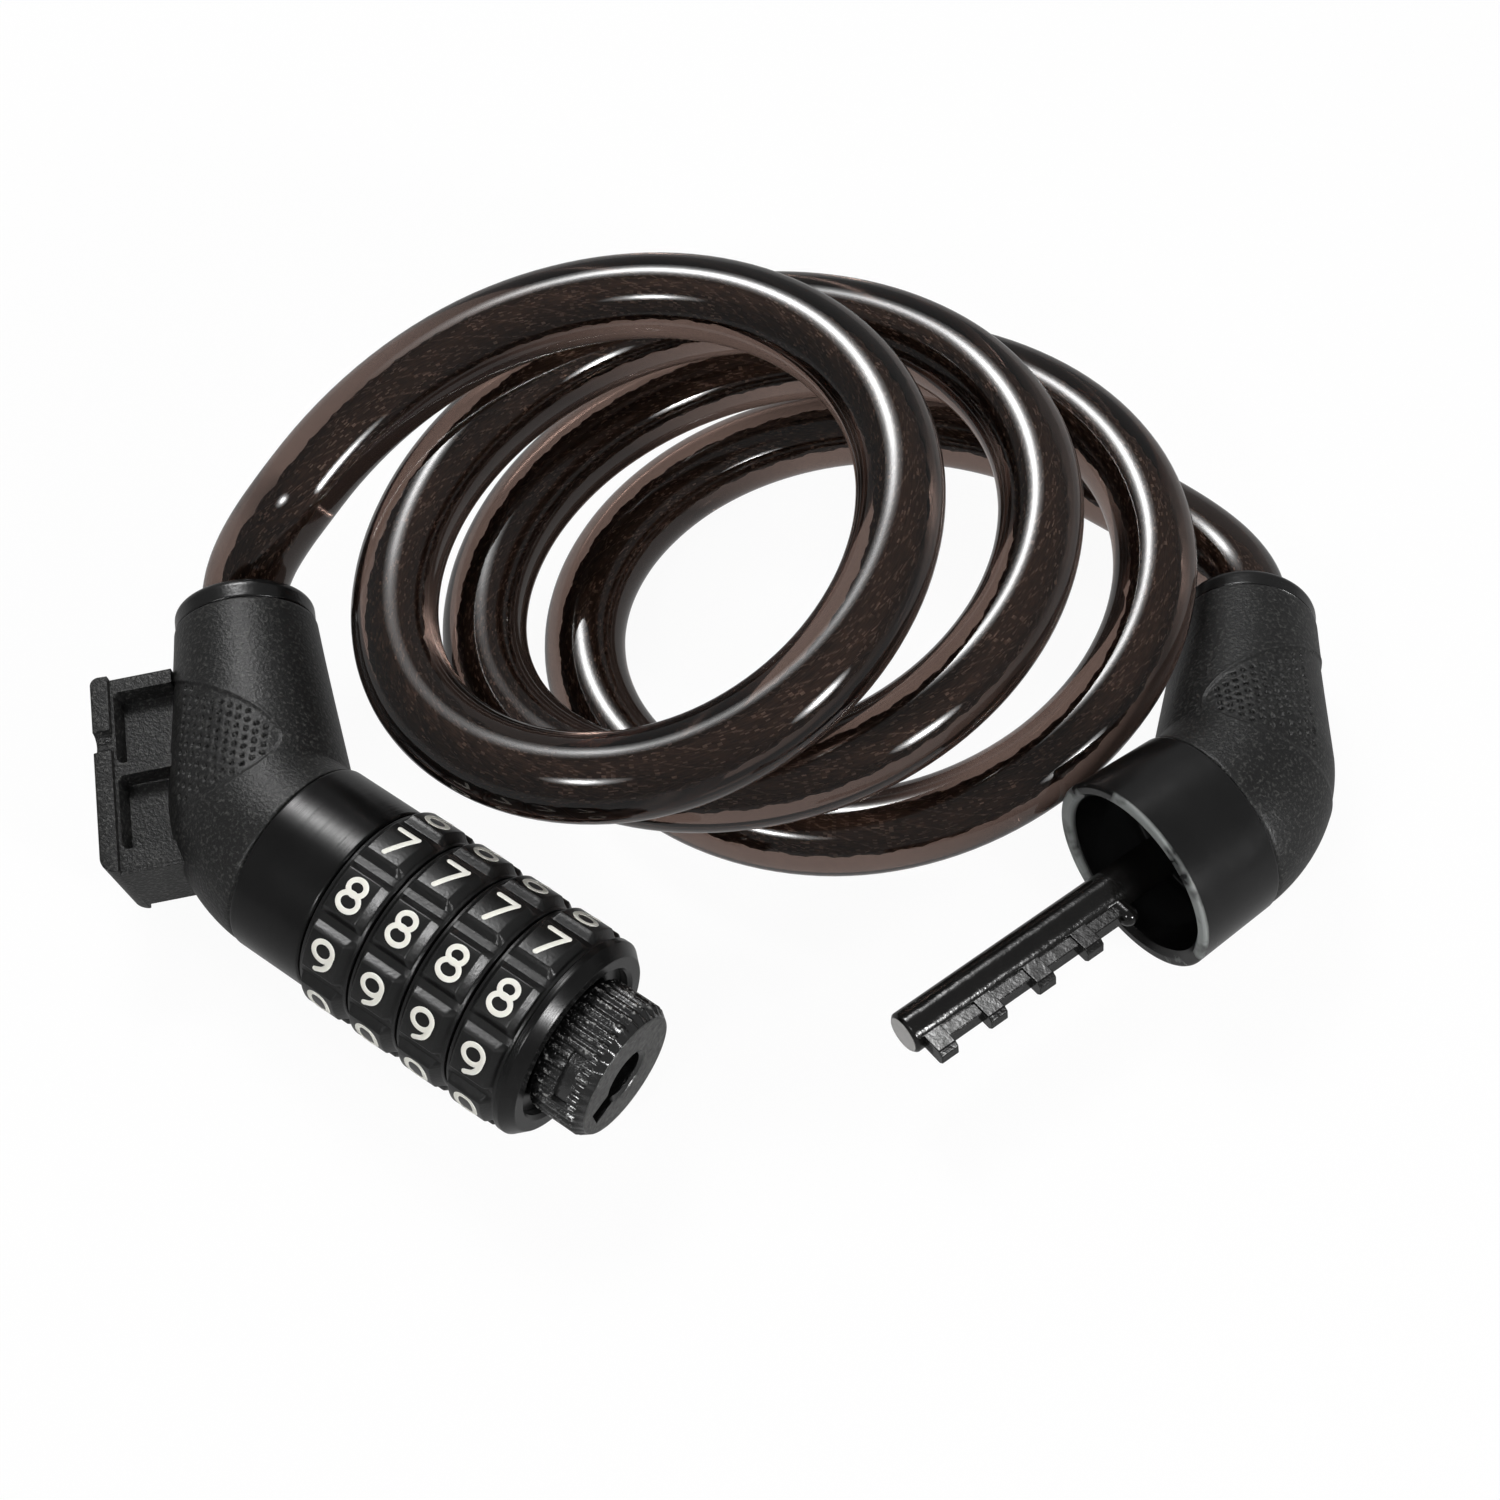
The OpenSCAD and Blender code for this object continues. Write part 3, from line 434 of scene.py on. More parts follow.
def make_boot(name, place, node_name):
    """A boot as one closed skin: out along the grained outside, round the lip, and back along the bore."""
    s = np.linspace(0, BOOT_LEN, 200)
    f = np.linspace(0, 2 * np.pi, 420, endpoint=False)
    arc = boot_r(s)[:, None] * np.abs((f + np.pi) % (2 * np.pi) - np.pi)[None]
    far = PAD_TIP_ARC - np.sqrt(arc ** 2 + 4) + 0.1
    upper, lower = pad_edges(np.clip(far, 0, None))
    along = s[:, None] + 0 * arc
    inside = step(0, np.minimum(upper - along, along - lower), 0.5) * step(0.1, far, 0.4)
    line = np.exp(-((along - upper) / 0.3) ** 2) * step(0.3, far, 0.8)
    faint = np.exp(-((along - lower) / 0.3) ** 2) * step(0.3, far, 0.8)

    # Dimples stand in rows a step apart, every other row half a step on, where a whole one fits inside the pad.
    row = np.round(arc / DIMPLE_STEP)
    dx = along / DIMPLE_STEP - 0.5 * (row % 2)
    near = np.hypot(dx - np.round(dx), arc / DIMPLE_STEP - row) * DIMPLE_STEP
    cx, cy = (np.round(dx) + 0.5 * (row % 2)) * DIMPLE_STEP, row * DIMPLE_STEP
    top, foot = pad_edges(np.clip(PAD_TIP_ARC - cy, 0, None))
    whole = (cx < top - 1.0) & (cx > foot + 0.9) & (cy > PAD_BACK) & (cy < PAD_TIP_ARC - 1.0)
    push = (LINE_HIGH * line + LINE_HIGH / 2 * faint - PAD_DEEP * inside
            - DIMPLE_DEEP * (1 - step(DIMPLE_R, near, 0.2)) * whole)

    # The outer edges at both ends are broken by a small round.
    for end in (0, BOOT_LEN):
        push = push - 0.35 * np.exp(-np.abs(s - end)[:, None] / 0.16)
    deep = BEND_LEN + SPIGOT_LEN
    bore = np.array([[BOOT_LEN, SLEEVE_R + 0.1], [deep + 0.1, SLEEVE_R + 0.1], [deep, SPIGOT_R + 0.1],
                     [BEND_LEN, SPIGOT_R + 0.3], [BEND_LEN * 0.5, SPIGOT_R + 1.3], [0.0, SPIGOT_R + 0.4]])
    grid = np.concatenate([boot_rings(s, f, boot_r(s)[:, None] + push),
                           boot_rings(bore[:, 0], f, bore[:, 1][:, None])])
    faces = skin_faces(len(grid), len(f), True)
    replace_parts(put(name, place(grid.reshape(-1, 3)), faces, matt_abs, "lock", corner=50), node_name)


make_boot("head_boot", in_head, "boot_head")
make_boot("plug_boot", in_plug, "boot_plug")

# Bracket rail: moulded on the head's neck for a frame clip. Two pockets lighten each side of its web,
# and a half-round notch in each edge of the flange takes the clip's latch.
RAIL_END, RAIL_LEN, RAIL_REACH, FLANGE_T, FLANGE_W = 25.3, 29.9, 21.0, 2.5, 14.0
WEB_W, WEB_FLOOR, WEB_INNER, NOTCH_MID, NOTCH_R = 11.6, 6.0, 9.8, 15.3, 1.65
POCKETS, POCKET_FROM, POCKET_TO, POCKET_ROUND = ((-0.9, 9.95), (12.15, 22.9)), 6.0, 17.9, 0.7
START_ROUND, END_ROUND, EDGE_ROUND = 2.5, 1.0, 0.35
RAIL_START = RAIL_END - RAIL_LEN


def loft(rings):
    """A closed skin over rows of rings, with flat ends: its points and faces."""
    return rings.reshape(-1, 3), skin_faces(len(rings), rings.shape[1])


def together(*parts):
    """Several closed skins as one list of points and one of faces."""
    points, faces, count = [], [], 0
    for p, f in parts:
        points.append(p)
        faces += [[k + count for k in face] for face in f]
        count += len(p)
    return np.vstack(points), faces


s = np.linspace(RAIL_START, RAIL_END, 160)
n = np.linspace(WEB_INNER, RAIL_REACH - FLANGE_T + 0.2, 46)
sunk = np.zeros((len(s), len(n)))
for s0, s1 in POCKETS:
    qs = np.abs(s - (s0 + s1) / 2)[:, None] - (s1 - s0) / 2 + POCKET_ROUND
    qn = np.abs(n - (POCKET_FROM + POCKET_TO) / 2)[None] - (POCKET_TO - POCKET_FROM) / 2 + POCKET_ROUND
    wall = np.hypot(np.maximum(qs, 0), np.maximum(qn, 0)) + np.minimum(np.maximum(qs, qn), 0) - POCKET_ROUND
    sunk = np.maximum(sunk, step(0.1, -wall, 0.45))
half = WEB_W / 2 - (WEB_W - WEB_FLOOR) / 2 * sunk
half = half - 0.25 * np.exp(-np.minimum(s - RAIL_START, RAIL_END - s) / 0.15)[:, None]
side = np.stack([np.broadcast_to(s[:, None], half.shape), np.broadcast_to(n[None], half.shape), half], -1)
web = np.concatenate([side, side[:, ::-1] * [1, 1, -1]], 1)

bow = NOTCH_MID + NOTCH_R * np.sin(np.linspace(-np.pi / 2, np.pi / 2, 28))
s = np.unique(np.concatenate([RAIL_START + START_ROUND * (1 - np.cos(np.linspace(0.2, np.pi / 2, 14))), bow,
                              np.linspace(RAIL_START + START_ROUND + 0.1, NOTCH_MID - NOTCH_R - 0.06, 20),
                              np.linspace(NOTCH_MID + NOTCH_R + 0.06, RAIL_END - END_ROUND, 10),
                              RAIL_END - END_ROUND + np.sin(np.linspace(0, 1.45, 8))]))
cut = np.sqrt(np.clip(NOTCH_R ** 2 - (s - NOTCH_MID) ** 2, 0, None))
half = np.minimum(FLANGE_W / 2, FLANGE_W / 2 + 0.05 - cut)[:, None]
start, end = np.clip(RAIL_START + START_ROUND - s, 0, START_ROUND), np.clip(s - RAIL_END + END_ROUND, 0, END_ROUND)
top = (RAIL_REACH - START_ROUND + np.sqrt(START_ROUND ** 2 - start ** 2) - END_ROUND
       + np.sqrt(END_ROUND ** 2 - end ** 2))[:, None]
q = np.linspace(0, np.pi / 2, 6)
inset = EDGE_ROUND - EDGE_ROUND * np.cos(q)
z = np.concatenate([half - inset, -half + inset[::-1], -half + [0.1, 0.1], half - [0.1, 0.1]], 1)
low = np.full((len(s), 1), RAIL_REACH - FLANGE_T)
foot = np.maximum(top - EDGE_ROUND, low + 0.05)
up = np.concatenate([foot + (top - foot) * np.sin(q), foot + (top - foot) * np.sin(q[::-1]), low + [0.1, 0.0],
                     low + [0.0, 0.1]], 1)
flange = np.stack([np.broadcast_to(s[:, None], z.shape), up, z], -1)
points, faces = together(loft(web), loft(flange))
put("bracket_rail", in_head(neck(points)), faces, matt_abs, "lock", corner=40)

# End rings: ABS turned out of a satin mould and pressed into each neck on a sleeve. Fine grain softens the streak on
# the rounded lip, through which the cable passes.
satin_abs, tree, where, tone, rough = black_plastic("satin_abs", (0.18, 0.3), "0D0D0D", "141414", 140.0, 3.0, 0.5)
grit = node(tree, "TexNoise", {"Vector": where, "Scale": 1800.0, "Detail": 1.0}).outputs["Fac"]
rise = node(tree, "Bump", {"Height": grit, "Distance": 0.0001, "Strength": 0.25}).outputs[0]
shell(tree, tone, rough, rise, 1.5, 0.5)
JUST_OFF = 0.04


def rounded(corners, steps=6):
    """A closed outline of (x, radius, fillet) corners, each corner an arc with a point just off each end."""
    c = np.asarray(corners, float)
    p, fillet = c[:, :2], c[:, 2:]
    back, on = unit(np.roll(p, 1, 0) - p), unit(np.roll(p, -1, 0) - p)
    half = np.arccos(np.clip((back * on).sum(1, keepdims=True), -1, 1)) / 2
    reach, middle = fillet / np.tan(half), p + unit(back + on) * fillet / np.sin(half)
    a, b = p + back * reach - middle, p + on * reach - middle
    wide = (np.pi - 2 * half)[:, None]
    u = np.linspace(0, 1, steps)[None, :, None]
    arc = middle[:, None] + (a[:, None] * np.sin((1 - u) * wide) + b[:, None] * np.sin(u * wide)) / np.sin(wide)
    first, last = p + back * (reach + JUST_OFF), p + on * (reach + JUST_OFF)
    return np.concatenate([first[:, None], arc, last[:, None]], 1).reshape(-1, 2)


def lathed(corners, sides=192, steps=6):
    """A closed outline turned about X: its points, faces and (x, radius) coordinates."""
    x, r = rounded(corners, steps).T
    f = np.linspace(0, 2 * np.pi, sides, endpoint=False)
    grid = np.stack([np.broadcast_to(x[:, None], (len(x), sides)), r[:, None] * np.cos(f), r[:, None] * np.sin(f)], -1)
    uv = np.stack([np.repeat(x, sides), np.repeat(r, sides)], 1)
    return grid.reshape(-1, 3), skin_faces(len(x), sides, True), uv


LIP_R, CABLE_HOLE = NECK_D / 2 - 0.2, CABLE_D / 2 + 0.2
points, faces, uv = lathed([(LIP_S - 5, CABLE_HOLE, 0.1), (LIP_S - 5, SLEEVE_R, 0.1), (LIP_S, SLEEVE_R, 0.1),
                            (LIP_S, LIP_R, 0.3), (NECK_LEN, LIP_R, 1.4), (NECK_LEN, CABLE_HOLE, 0.35)], steps=9)
for end, place in (("head", in_head), ("plug", in_plug)):
    made = put(end + "_end_ring", place(neck(points)), faces, satin_abs, "lock", uv)
    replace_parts(made, "end_ring_" + end)

# Barrel ring: a plain ABS collar off a polished mould, pressed over the core's spigot. Fine marks run round it and
# break its narrow highlight.
RING_END, RING_R, BARREL_BORE, BORE_DEEP = 18.65, 14.0, 7.3, 2.65
polished_abs, tree, where, tone, rough = black_plastic("polished_abs", (0.15, 0.31))
spun = node(tree, "UVMap", uv_map="surface").outputs[0]
hair = node(tree, "Mapping", {"Vector": spun, "Scale": (5.0, 0.2, 0.0)}).outputs[0]
hair = node(tree, "TexNoise", {"Vector": hair, "Scale": 1.0, "Detail": 3.0}).outputs["Fac"]
rise = node(tree, "Bump", {"Height": hair, "Distance": 0.00005, "Strength": 0.6}).outputs[0]
shell(tree, tone, rough, rise, 1.52, 0.28)

points, faces, uv = lathed([(BOOT_FACE, SPIGOT_R + 0.05, 0.1), (BOOT_FACE, RING_R, 0.4), (RING_END, RING_R, 0.45),
                            (RING_END, BARREL_BORE, 0.1), (RING_END - BORE_DEEP, BARREL_BORE, 0.1),
                            (RING_END - BORE_DEEP, SPIGOT_R + 0.05, 0.1)])
made = put("glossy_barrel_ring", in_head(points), faces, polished_abs, "lock", uv)
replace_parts(made, "barrel_ring")

# Dials: ABS, ten pads that stand as islands between sloped grooves and a low band at each end, with splines in the
# bore. The sharp edges are painted a little paler than the sides of the grooves.
DIALS_X, PITCH, DIAL_LEN, DIAL_R, ROOT_R = 18.8, 8.3, 8.0, 15.0, 13.9
DIGIT_TURN, NOTCH_HALF, NOTCH_SLOPE, NOTCH_LIFT = 64.5, 0.55, 1.1 / 1.3, 0.05
BAND, PAD_FROM, PAD_TO, BLEND = 0.5, 1.2, 6.5, 0.035
SPLINE_OUT, SPLINE_IN, SPLINE_HALF = 9.6, 8.8, 7.0
dial_abs, tree, where, tone, rough = black_plastic("semi_gloss_abs", (0.24, 0.36), "0F0F0F", "191919", 220.0, 4.0, 0.5)
grit = node(tree, "TexNoise", {"Vector": where, "Scale": 2200.0, "Detail": 1.0}).outputs["Fac"]
# The sharp convex edges, found by pointiness, are painted paler.
pale_edge = node(tree, "NewGeometry").outputs["Pointiness"]
pale_edge = node(tree, "MapRange", {"Value": pale_edge, "From Min": 0.51, "From Max": 0.56}).outputs[0]
tone = node(tree, "MixRGB", {"Fac": pale_edge, "Color1": tone, "Color2": linear("2A2A2A")}).outputs[0]
rise = node(tree, "Bump", {"Height": grit, "Distance": 0.0001, "Strength": 0.25}).outputs[0]
shell(tree, tone, rough, rise, 1.5, 0.4)

flank = np.degrees(np.arctan2(NOTCH_HALF + (DIAL_R - ROOT_R) / NOTCH_SLOPE, DIAL_R))
floor_edge = np.degrees(np.arctan2(NOTCH_HALF, ROOT_R))
offsets = np.array([0, floor_edge - 0.35, floor_edge, floor_edge + 0.35, (flank + floor_edge) / 2, flank - 0.7,
                    flank - 0.3, flank, flank + 0.3, flank + 0.7, 9.5, 11.5, 13.5, 15.5])
turn = np.sort(np.concatenate([[b + offsets, b - offsets[1:], [b + 18.0]][i]
                               for b in DIGIT_TURN + 18 + 36.0 * np.arange(10) for i in range(3)]))
turn = np.unique(np.round(turn % 360, 4))
delta = np.radians(np.abs((turn - DIGIT_TURN) % 36 - 18))
floor_r = ROOT_R + NOTCH_LIFT
notch = np.maximum(floor_r / np.cos(delta),
                   (floor_r - NOTCH_SLOPE * NOTCH_HALF) / (1 - NOTCH_SLOPE * np.tan(delta)) / np.cos(delta))
spline = np.where(np.abs((turn + 18) % 36 - 18) < SPLINE_HALF, SPLINE_OUT, SPLINE_IN)
low, high = ROOT_R, DIAL_R
x, profile = np.array([
    [0, low - 0.6], [0, low - 0.2], [0.03, low - 0.1], [0.08, low - 0.03], [0.16, low], [BAND - 0.08, low],
    [BAND, low + 0.04], [BAND + 0.07, low + 0.13], [PAD_FROM - 0.13, high - 0.24], [PAD_FROM - 0.06, high - 0.12],
    [PAD_FROM, high - 0.05], [PAD_FROM + 0.08, high - 0.01], [PAD_FROM + 0.2, high], [2.2, high], [3.2, high],
    [4.2, high], [5.2, high], [PAD_TO - 0.2, high], [PAD_TO - 0.08, high - 0.01], [PAD_TO, high - 0.05],
    [PAD_TO + 0.08, high - 0.12], [PAD_TO + 0.16, high - 0.2], [DIAL_LEN - BAND - 0.1, low + 0.12],
    [DIAL_LEN - BAND, low + 0.03], [DIAL_LEN - BAND + 0.08, low], [7.84, low], [7.92, low - 0.03],
    [7.97, low - 0.1], [DIAL_LEN, low - 0.2], [DIAL_LEN, low - 0.6]]).T
# The groove is blended into the profile by a soft minimum, -b log(exp(-profile / b) + exp(-groove / b)).
radius = -BLEND * np.logaddexp(-profile[:, None] / BLEND, -notch[None] / BLEND)
radius = np.where(profile[:, None] < low + 0.02, profile[:, None], radius)
inner = np.stack([spline, spline, 0 * spline + BARREL_BORE, 0 * spline + BARREL_BORE])
x, radius = np.concatenate([x, [DIAL_LEN, 0.6, 0.6, 0.0]]), np.vstack([radius, inner])
f = np.radians(turn)
dial_grid = np.stack([np.broadcast_to(x[:, None], radius.shape), radius * np.cos(f), radius * np.sin(f)], -1)
faces = skin_faces(len(x), len(f), True)
for i in range(4):
    made = put(f"number_dial_{i + 1}", in_head((dial_grid + [DIALS_X + i * PITCH, 0, 0]).reshape(-1, 3)), faces,
               dial_abs, f"dial_{i + 1}_body", corner=55)
    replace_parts(made, f"dial_{i + 1}")

# Digits: cream enamel wiped into the pads and left a hair proud, each a rounded stroke drawn through a few points. Its
# tone is a little uneven, as wiped paint is.
STROKE, PROUD, PAD_X = 0.39, 0.07, 3.95
enamel, tree = fresh("cream_enamel")
where = node(tree, "TexCoord").outputs["Object"]
cloud = node(tree, "TexNoise", {"Vector": where, "Scale": 900.0, "Detail": 3.0}).outputs["Fac"]
tone = node(tree, "MixRGB", {"Fac": cloud, "Color1": linear("F0EEE2"), "Color2": linear("FAF9F2")}).outputs[0]
rise = node(tree, "Bump", {"Height": cloud, "Distance": 0.0001, "Strength": 0.2}).outputs[0]
paint = node(tree, "BsdfPrincipled", {"Base Color": tone, "Roughness": 0.42, "Normal": rise})
node(tree, "OutputMaterial", {"Surface": paint.outputs[0]})


def oval(cx, cy, w, h, power=1.0):
    """A superellipse about (cx, cy) with half sizes w and h: cosine and sine each raised to the power."""
    a = np.linspace(0, 2 * np.pi, 33)
    c, d = np.cos(a), np.sin(a)
    return np.stack([cx + w * np.sign(c) * np.abs(c) ** power, cy + h * np.sign(d) * np.abs(d) ** power], 1)


def drawn(knots):
    """The smooth curve through the knots, six points to a knot."""
    knots = np.array(knots, float)
    return eased(knots, np.linspace(0, len(knots) - 1, 6 * len(knots)))


def ruled(*corners):
    """A straight line with enough points to follow the round of a pad."""
    a, b = np.array(corners, float)
    return a + (b - a) * np.linspace(0, 1, 14)[:, None]


SIX = (oval(0, -0.85, 1.5, 1.35), drawn([(-1.5, -0.85), (-1.35, 0.5), (-0.7, 1.6), (0.5, 2.25)]))
DIGITS = {
    0: (oval(0, 0, 1.5, 2.2, 0.8),),
    1: (ruled((-1.0, 1.3), (0.3, 2.2)), ruled((0.3, 2.2), (0.3, -2.2))),
    2: (drawn([(-1.4, 1.2), (-1.1, 1.9), (0, 2.25), (1.2, 1.8), (1.35, 1.0), (0.8, -0.1), (-0.5, -1.3), (-1.5, -2.2)]),
        ruled((-1.5, -2.2), (1.5, -2.2))),
    3: (drawn([(-1.35, 1.7), (-0.5, 2.2), (0.6, 2.15), (1.3, 1.5), (1.1, 0.6), (0.2, 0.15)]),
        drawn([(0.2, 0.15), (1.2, -0.2), (1.5, -1.1), (1.0, -2.0), (0, -2.25), (-1.0, -2.1), (-1.5, -1.5)])),
    4: (ruled((0.6, -2.2), (0.6, 2.2)), ruled((0.6, 2.2), (-1.6, -0.8)), ruled((-1.6, -0.8), (1.6, -0.8))),
    5: (ruled((1.2, 2.2), (-1.1, 2.2)), ruled((-1.1, 2.2), (-1.3, 0.3)),
        drawn([(-1.3, 0.3), (-0.3, 0.75), (0.9, 0.5), (1.5, -0.6), (1.1, -1.8), (0, -2.25), (-1.0, -2.1),
               (-1.5, -1.6)])),
    6: SIX,
    7: (ruled((-1.5, 2.2), (1.5, 2.2)), ruled((1.5, 2.2), (-0.5, -2.2))),
    8: (oval(0, 1.12, 1.25, 1.08), oval(0, -1.0, 1.5, 1.22)),
    9: tuple(-part for part in SIX),
}


def stroke(line):
    """A flat rounded bead along a line on a pad, in (right, up, out), with round ends."""
    way = unit(np.gradient(line, axis=0))
    q = np.linspace(0, np.pi / 2, 5)[:-1]
    taper = np.concatenate([np.sin(q) + 0.02, np.ones(len(line)), np.sin(q[::-1]) + 0.02])
    cap = STROKE * np.cos(q)[:, None]
    line = np.vstack([line[0] - way[0] * cap, line, line[-1] + way[-1] * cap[::-1]])
    way = np.vstack([np.repeat(way[:1], len(q), 0), way, np.repeat(way[-1:], len(q), 0)])
    a = np.linspace(0, 2 * np.pi, 12, endpoint=False)
    side = np.stack([-way[:, 1], way[:, 0]], 1)
    across = (np.sign(np.cos(a)) * np.abs(np.cos(a)) ** 0.6)[None, :, None]
    flat = line[:, None] + side[:, None] * across * (STROKE * taper)[:, None, None]
    return np.concatenate([flat, np.broadcast_to((PROUD * np.sin(a))[None, :, None], flat.shape[:2] + (1,))], 2)


strokes = []
for digit, lines in DIGITS.items():
    for line in lines:
        bead = stroke(line)
        a = np.radians(DIGIT_TURN + 36 * (digit - 7)) - bead[..., 1] / DIAL_R
        r = DIAL_R + 0.02 + bead[..., 2]
        strokes.append(loft(np.stack([PAD_X + bead[..., 0], r * np.cos(a), r * np.sin(a)], -1)))
points, faces = together(*strokes)
for i in range(4):
    put(f"digits_{i + 1}", in_head(points + [DIALS_X + i * PITCH, 0, 0]), faces, enamel, f"dial_{i + 1}_body",
        corner=60)

# End collar: the same polished ABS as the barrel ring. Its slotted disc sits on the core tube, and its chamfered lip
# ends the row of dials.
SLOT_W, SLOT_REACH, TUBE_R, BORE_R = 3.4, 7.0, 5.0, 3.3
COLLAR_X, COLLAR_END, COLLAR_R, COLLAR_EDGE, COLLAR_CUP = 51.95, 54.5, 14.7, 13.3, 11.1


def keyhole(turn, r):
    """The radius of a round hole with the slot for the bits on its -Y side, at each angle in degrees."""
    d = np.radians(turn % 360 - 180)
    slot = np.minimum(SLOT_W / 2 / np.maximum(np.abs(np.sin(d)), 1e-6), SLOT_REACH / np.maximum(np.cos(d), 1e-6))
    return np.where(np.cos(d) > 0, np.maximum(slot, r), r)


def keyed_turns(extra):
    """Angles all round, closer together at the slot's corners."""
    reach = np.degrees(np.arctan2(SLOT_W / 2, SLOT_REACH))
    foot = [np.degrees(np.arcsin(SLOT_W / 2 / r)) for r in (BORE_R, TUBE_R + 0.05, TUBE_R + 1.2)]
    near = np.concatenate([[reach - 0.3, reach, reach + 0.3, 0], foot, np.linspace(reach, foot[0], 12)])
    return np.unique(np.round(np.concatenate([extra, 180 + near, 180 - near]) % 360, 3))


turn = keyed_turns(np.arange(0, 360, 2.0))
lip = rounded([(COLLAR_X, 12.0, 0.1), (COLLAR_X, COLLAR_R, 0.15), (COLLAR_X + 1.0, COLLAR_R, 0.25),
               (COLLAR_END, COLLAR_EDGE, 0.2), (COLLAR_END, COLLAR_CUP + 0.5, 0.15),
               (COLLAR_END - 0.5, COLLAR_CUP, 0.15), (COLLAR_X + 1.0, COLLAR_CUP, 0.1)], 5)[5:]
hole = keyhole(turn, TUBE_R + 0.05)
radius = np.vstack([np.broadcast_to(lip[:, 1:], (len(lip), len(turn))), hole, hole])
x = np.concatenate([lip[:, 0], [COLLAR_X + 1.0, COLLAR_X]])


def keyed(name, x, turn, radius, material, body, corner):
    """A skin of rings along X, radius given at each angle, as a piece on the barrel with (x, radius) coordinates."""
    f = np.radians(turn)
    grid = np.stack([np.broadcast_to(x[:, None], radius.shape), radius * np.cos(f), radius * np.sin(f)], -1)
    uv = np.stack([grid[..., 0].ravel(), radius.ravel()], 1)
    faces = skin_faces(len(x), len(turn), True)
    return put(name, in_head(grid.reshape(-1, 3)), faces, material, body, uv, corner=corner)


made = keyed("chamfered_collar", x, turn, radius, polished_abs, "lock", 45)
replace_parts(made, "end_collar")

# Reset knob: polished ABS with a straight knurl, two windows through the knurl and the keyhole in its face. Pale specks
# painted on the crests stand in for their glints, a painted highlight. The end face is dull and pitted, painted darker
# in its pits and paler on its bumps, painted shade and light for its grit.
KNOB_X, KNOB_END, KNOB_R, KNURLS, KNURL_DEPTH, CREST_HALF, SLOPE = 53.45, 62.3, 9.8, 36, 0.5, 0.075, 0.35
WINDOW_X, WINDOW_HALF, WINDOW_R, WINDOW_SPREAD, CAVITY_FROM, CAVITY_TO = 58.4, 1.0, 8.8, 25, 59.9, 54.1
knob_abs, tree, where, tone, rough = black_plastic("knurled_polished_abs", (0.08, 0.2))
spot = surface(tree)
face = node(tree, "MapRange", {"Value": spot["X"], "From Min": KNOB_END - 0.2, "From Max": KNOB_END - 0.02}).outputs[0]
grit = node(tree, "TexNoise", {"Vector": where, "Scale": 1500.0, "Detail": 3.0, "Roughness": 0.7}).outputs["Fac"]
crest = node(tree, "MapRange", {"Value": spot["Y"], "From Min": KNOB_R - 0.3, "From Max": KNOB_R - 0.05}).outputs[0]
# Painted highlight: pale specks on the knurl's crests stand in for their glints.
painted_crest_glint = node(tree, "MapRange", {"Value": grit, "From Min": 0.54, "From Max": 0.66, "To Max": 0.75}).outputs[0]
painted_crest_glint = node(tree, "Math", {0: painted_crest_glint, 1: crest}, operation="MULTIPLY").outputs[0]
tone = node(tree, "MixRGB", {"Fac": painted_crest_glint, "Color1": tone, "Color2": linear("B4B4B2")}).outputs[0]
# Painted shade and light on the end face: darker in the grit's pits, paler on its bumps.
painted_pit_shade = node(tree, "MapRange", {"Value": grit, "From Min": 0.38, "From Max": 0.64}).outputs[0]
painted_pit_shade_tone = node(tree, "MixRGB", {"Fac": painted_pit_shade, "Color1": linear("0C0C0C"), "Color2": linear("4A4A48")}).outputs[0]
tone = node(tree, "MixRGB", {"Fac": face, "Color1": tone, "Color2": painted_pit_shade_tone}).outputs[0]
rough = node(tree, "Math", {0: face, 1: 0.4, 2: rough}, operation="MULTIPLY_ADD").outputs[0]
least = node(tree, "MapRange", {"Value": face, "To Min": 0.25}).outputs[0]
grit = node(tree, "Math", {0: grit, 1: least}, operation="MULTIPLY").outputs[0]
rise = node(tree, "Bump", {"Height": grit, "Distance": 0.0003, "Strength": 0.7}).outputs[0]
shell(tree, tone, rough, rise, 1.52, 1.0)

turn = keyed_turns(np.arange(0, 360, 1.25))
wave = (turn * KNURLS / 360) % 1
hill = np.clip((np.abs(wave - CREST_HALF - np.round(wave - CREST_HALF)) - CREST_HALF) / SLOPE, 0, 1)
knurl = KNURL_DEPTH * hill * hill * (3 - 2 * hill)
w0, w1, end = WINDOW_X - WINDOW_HALF - KNOB_X, WINDOW_X + WINDOW_HALF - KNOB_X, KNOB_END - KNOB_X
plain = [0.9, 1.1, w0 - 0.15, w0 - 0.05, w0, w0 + 0.1, w0 + 0.25, w1 - 0.25, w1 - 0.1, w1, w1 + 0.05, w1 + 0.15,
         end - 1.45]
side = np.array([[0, 8.6], [0, 8.9], [0.1, 9.08], [0.75, 9.75], *[[at, KNOB_R] for at in plain], [end - 1.3, 9.74],
                 [end - 1.15, 9.62], [end - 0.25, 8.98], [end - 0.1, 8.86], [end - 0.03, 8.72], [end, 8.5], [end, 7.8]])
x, r = (side + [KNOB_X, 0]).T
ridged = step(0.4, x - KNOB_X, 0.9) * (1 - step(end - 0.85, x - KNOB_X, 1.0))
radius = r[:, None] - knurl[None] * ridged[:, None]
for middle in (-50, 130):
    across = np.abs((turn - middle + 180) % 360 - 180)
    opened = (across[None] < WINDOW_SPREAD) & (np.abs(x - WINDOW_X)[:, None] < WINDOW_HALF + 0.01)
    radius = np.where(opened, np.minimum(radius, WINDOW_R), radius)
mouth, bore = keyhole(turn, BORE_R + 0.7), keyhole(turn, BORE_R)
cavity, recess = keyhole(turn, TUBE_R + 0.05), keyhole(turn, TUBE_R + 1.2)
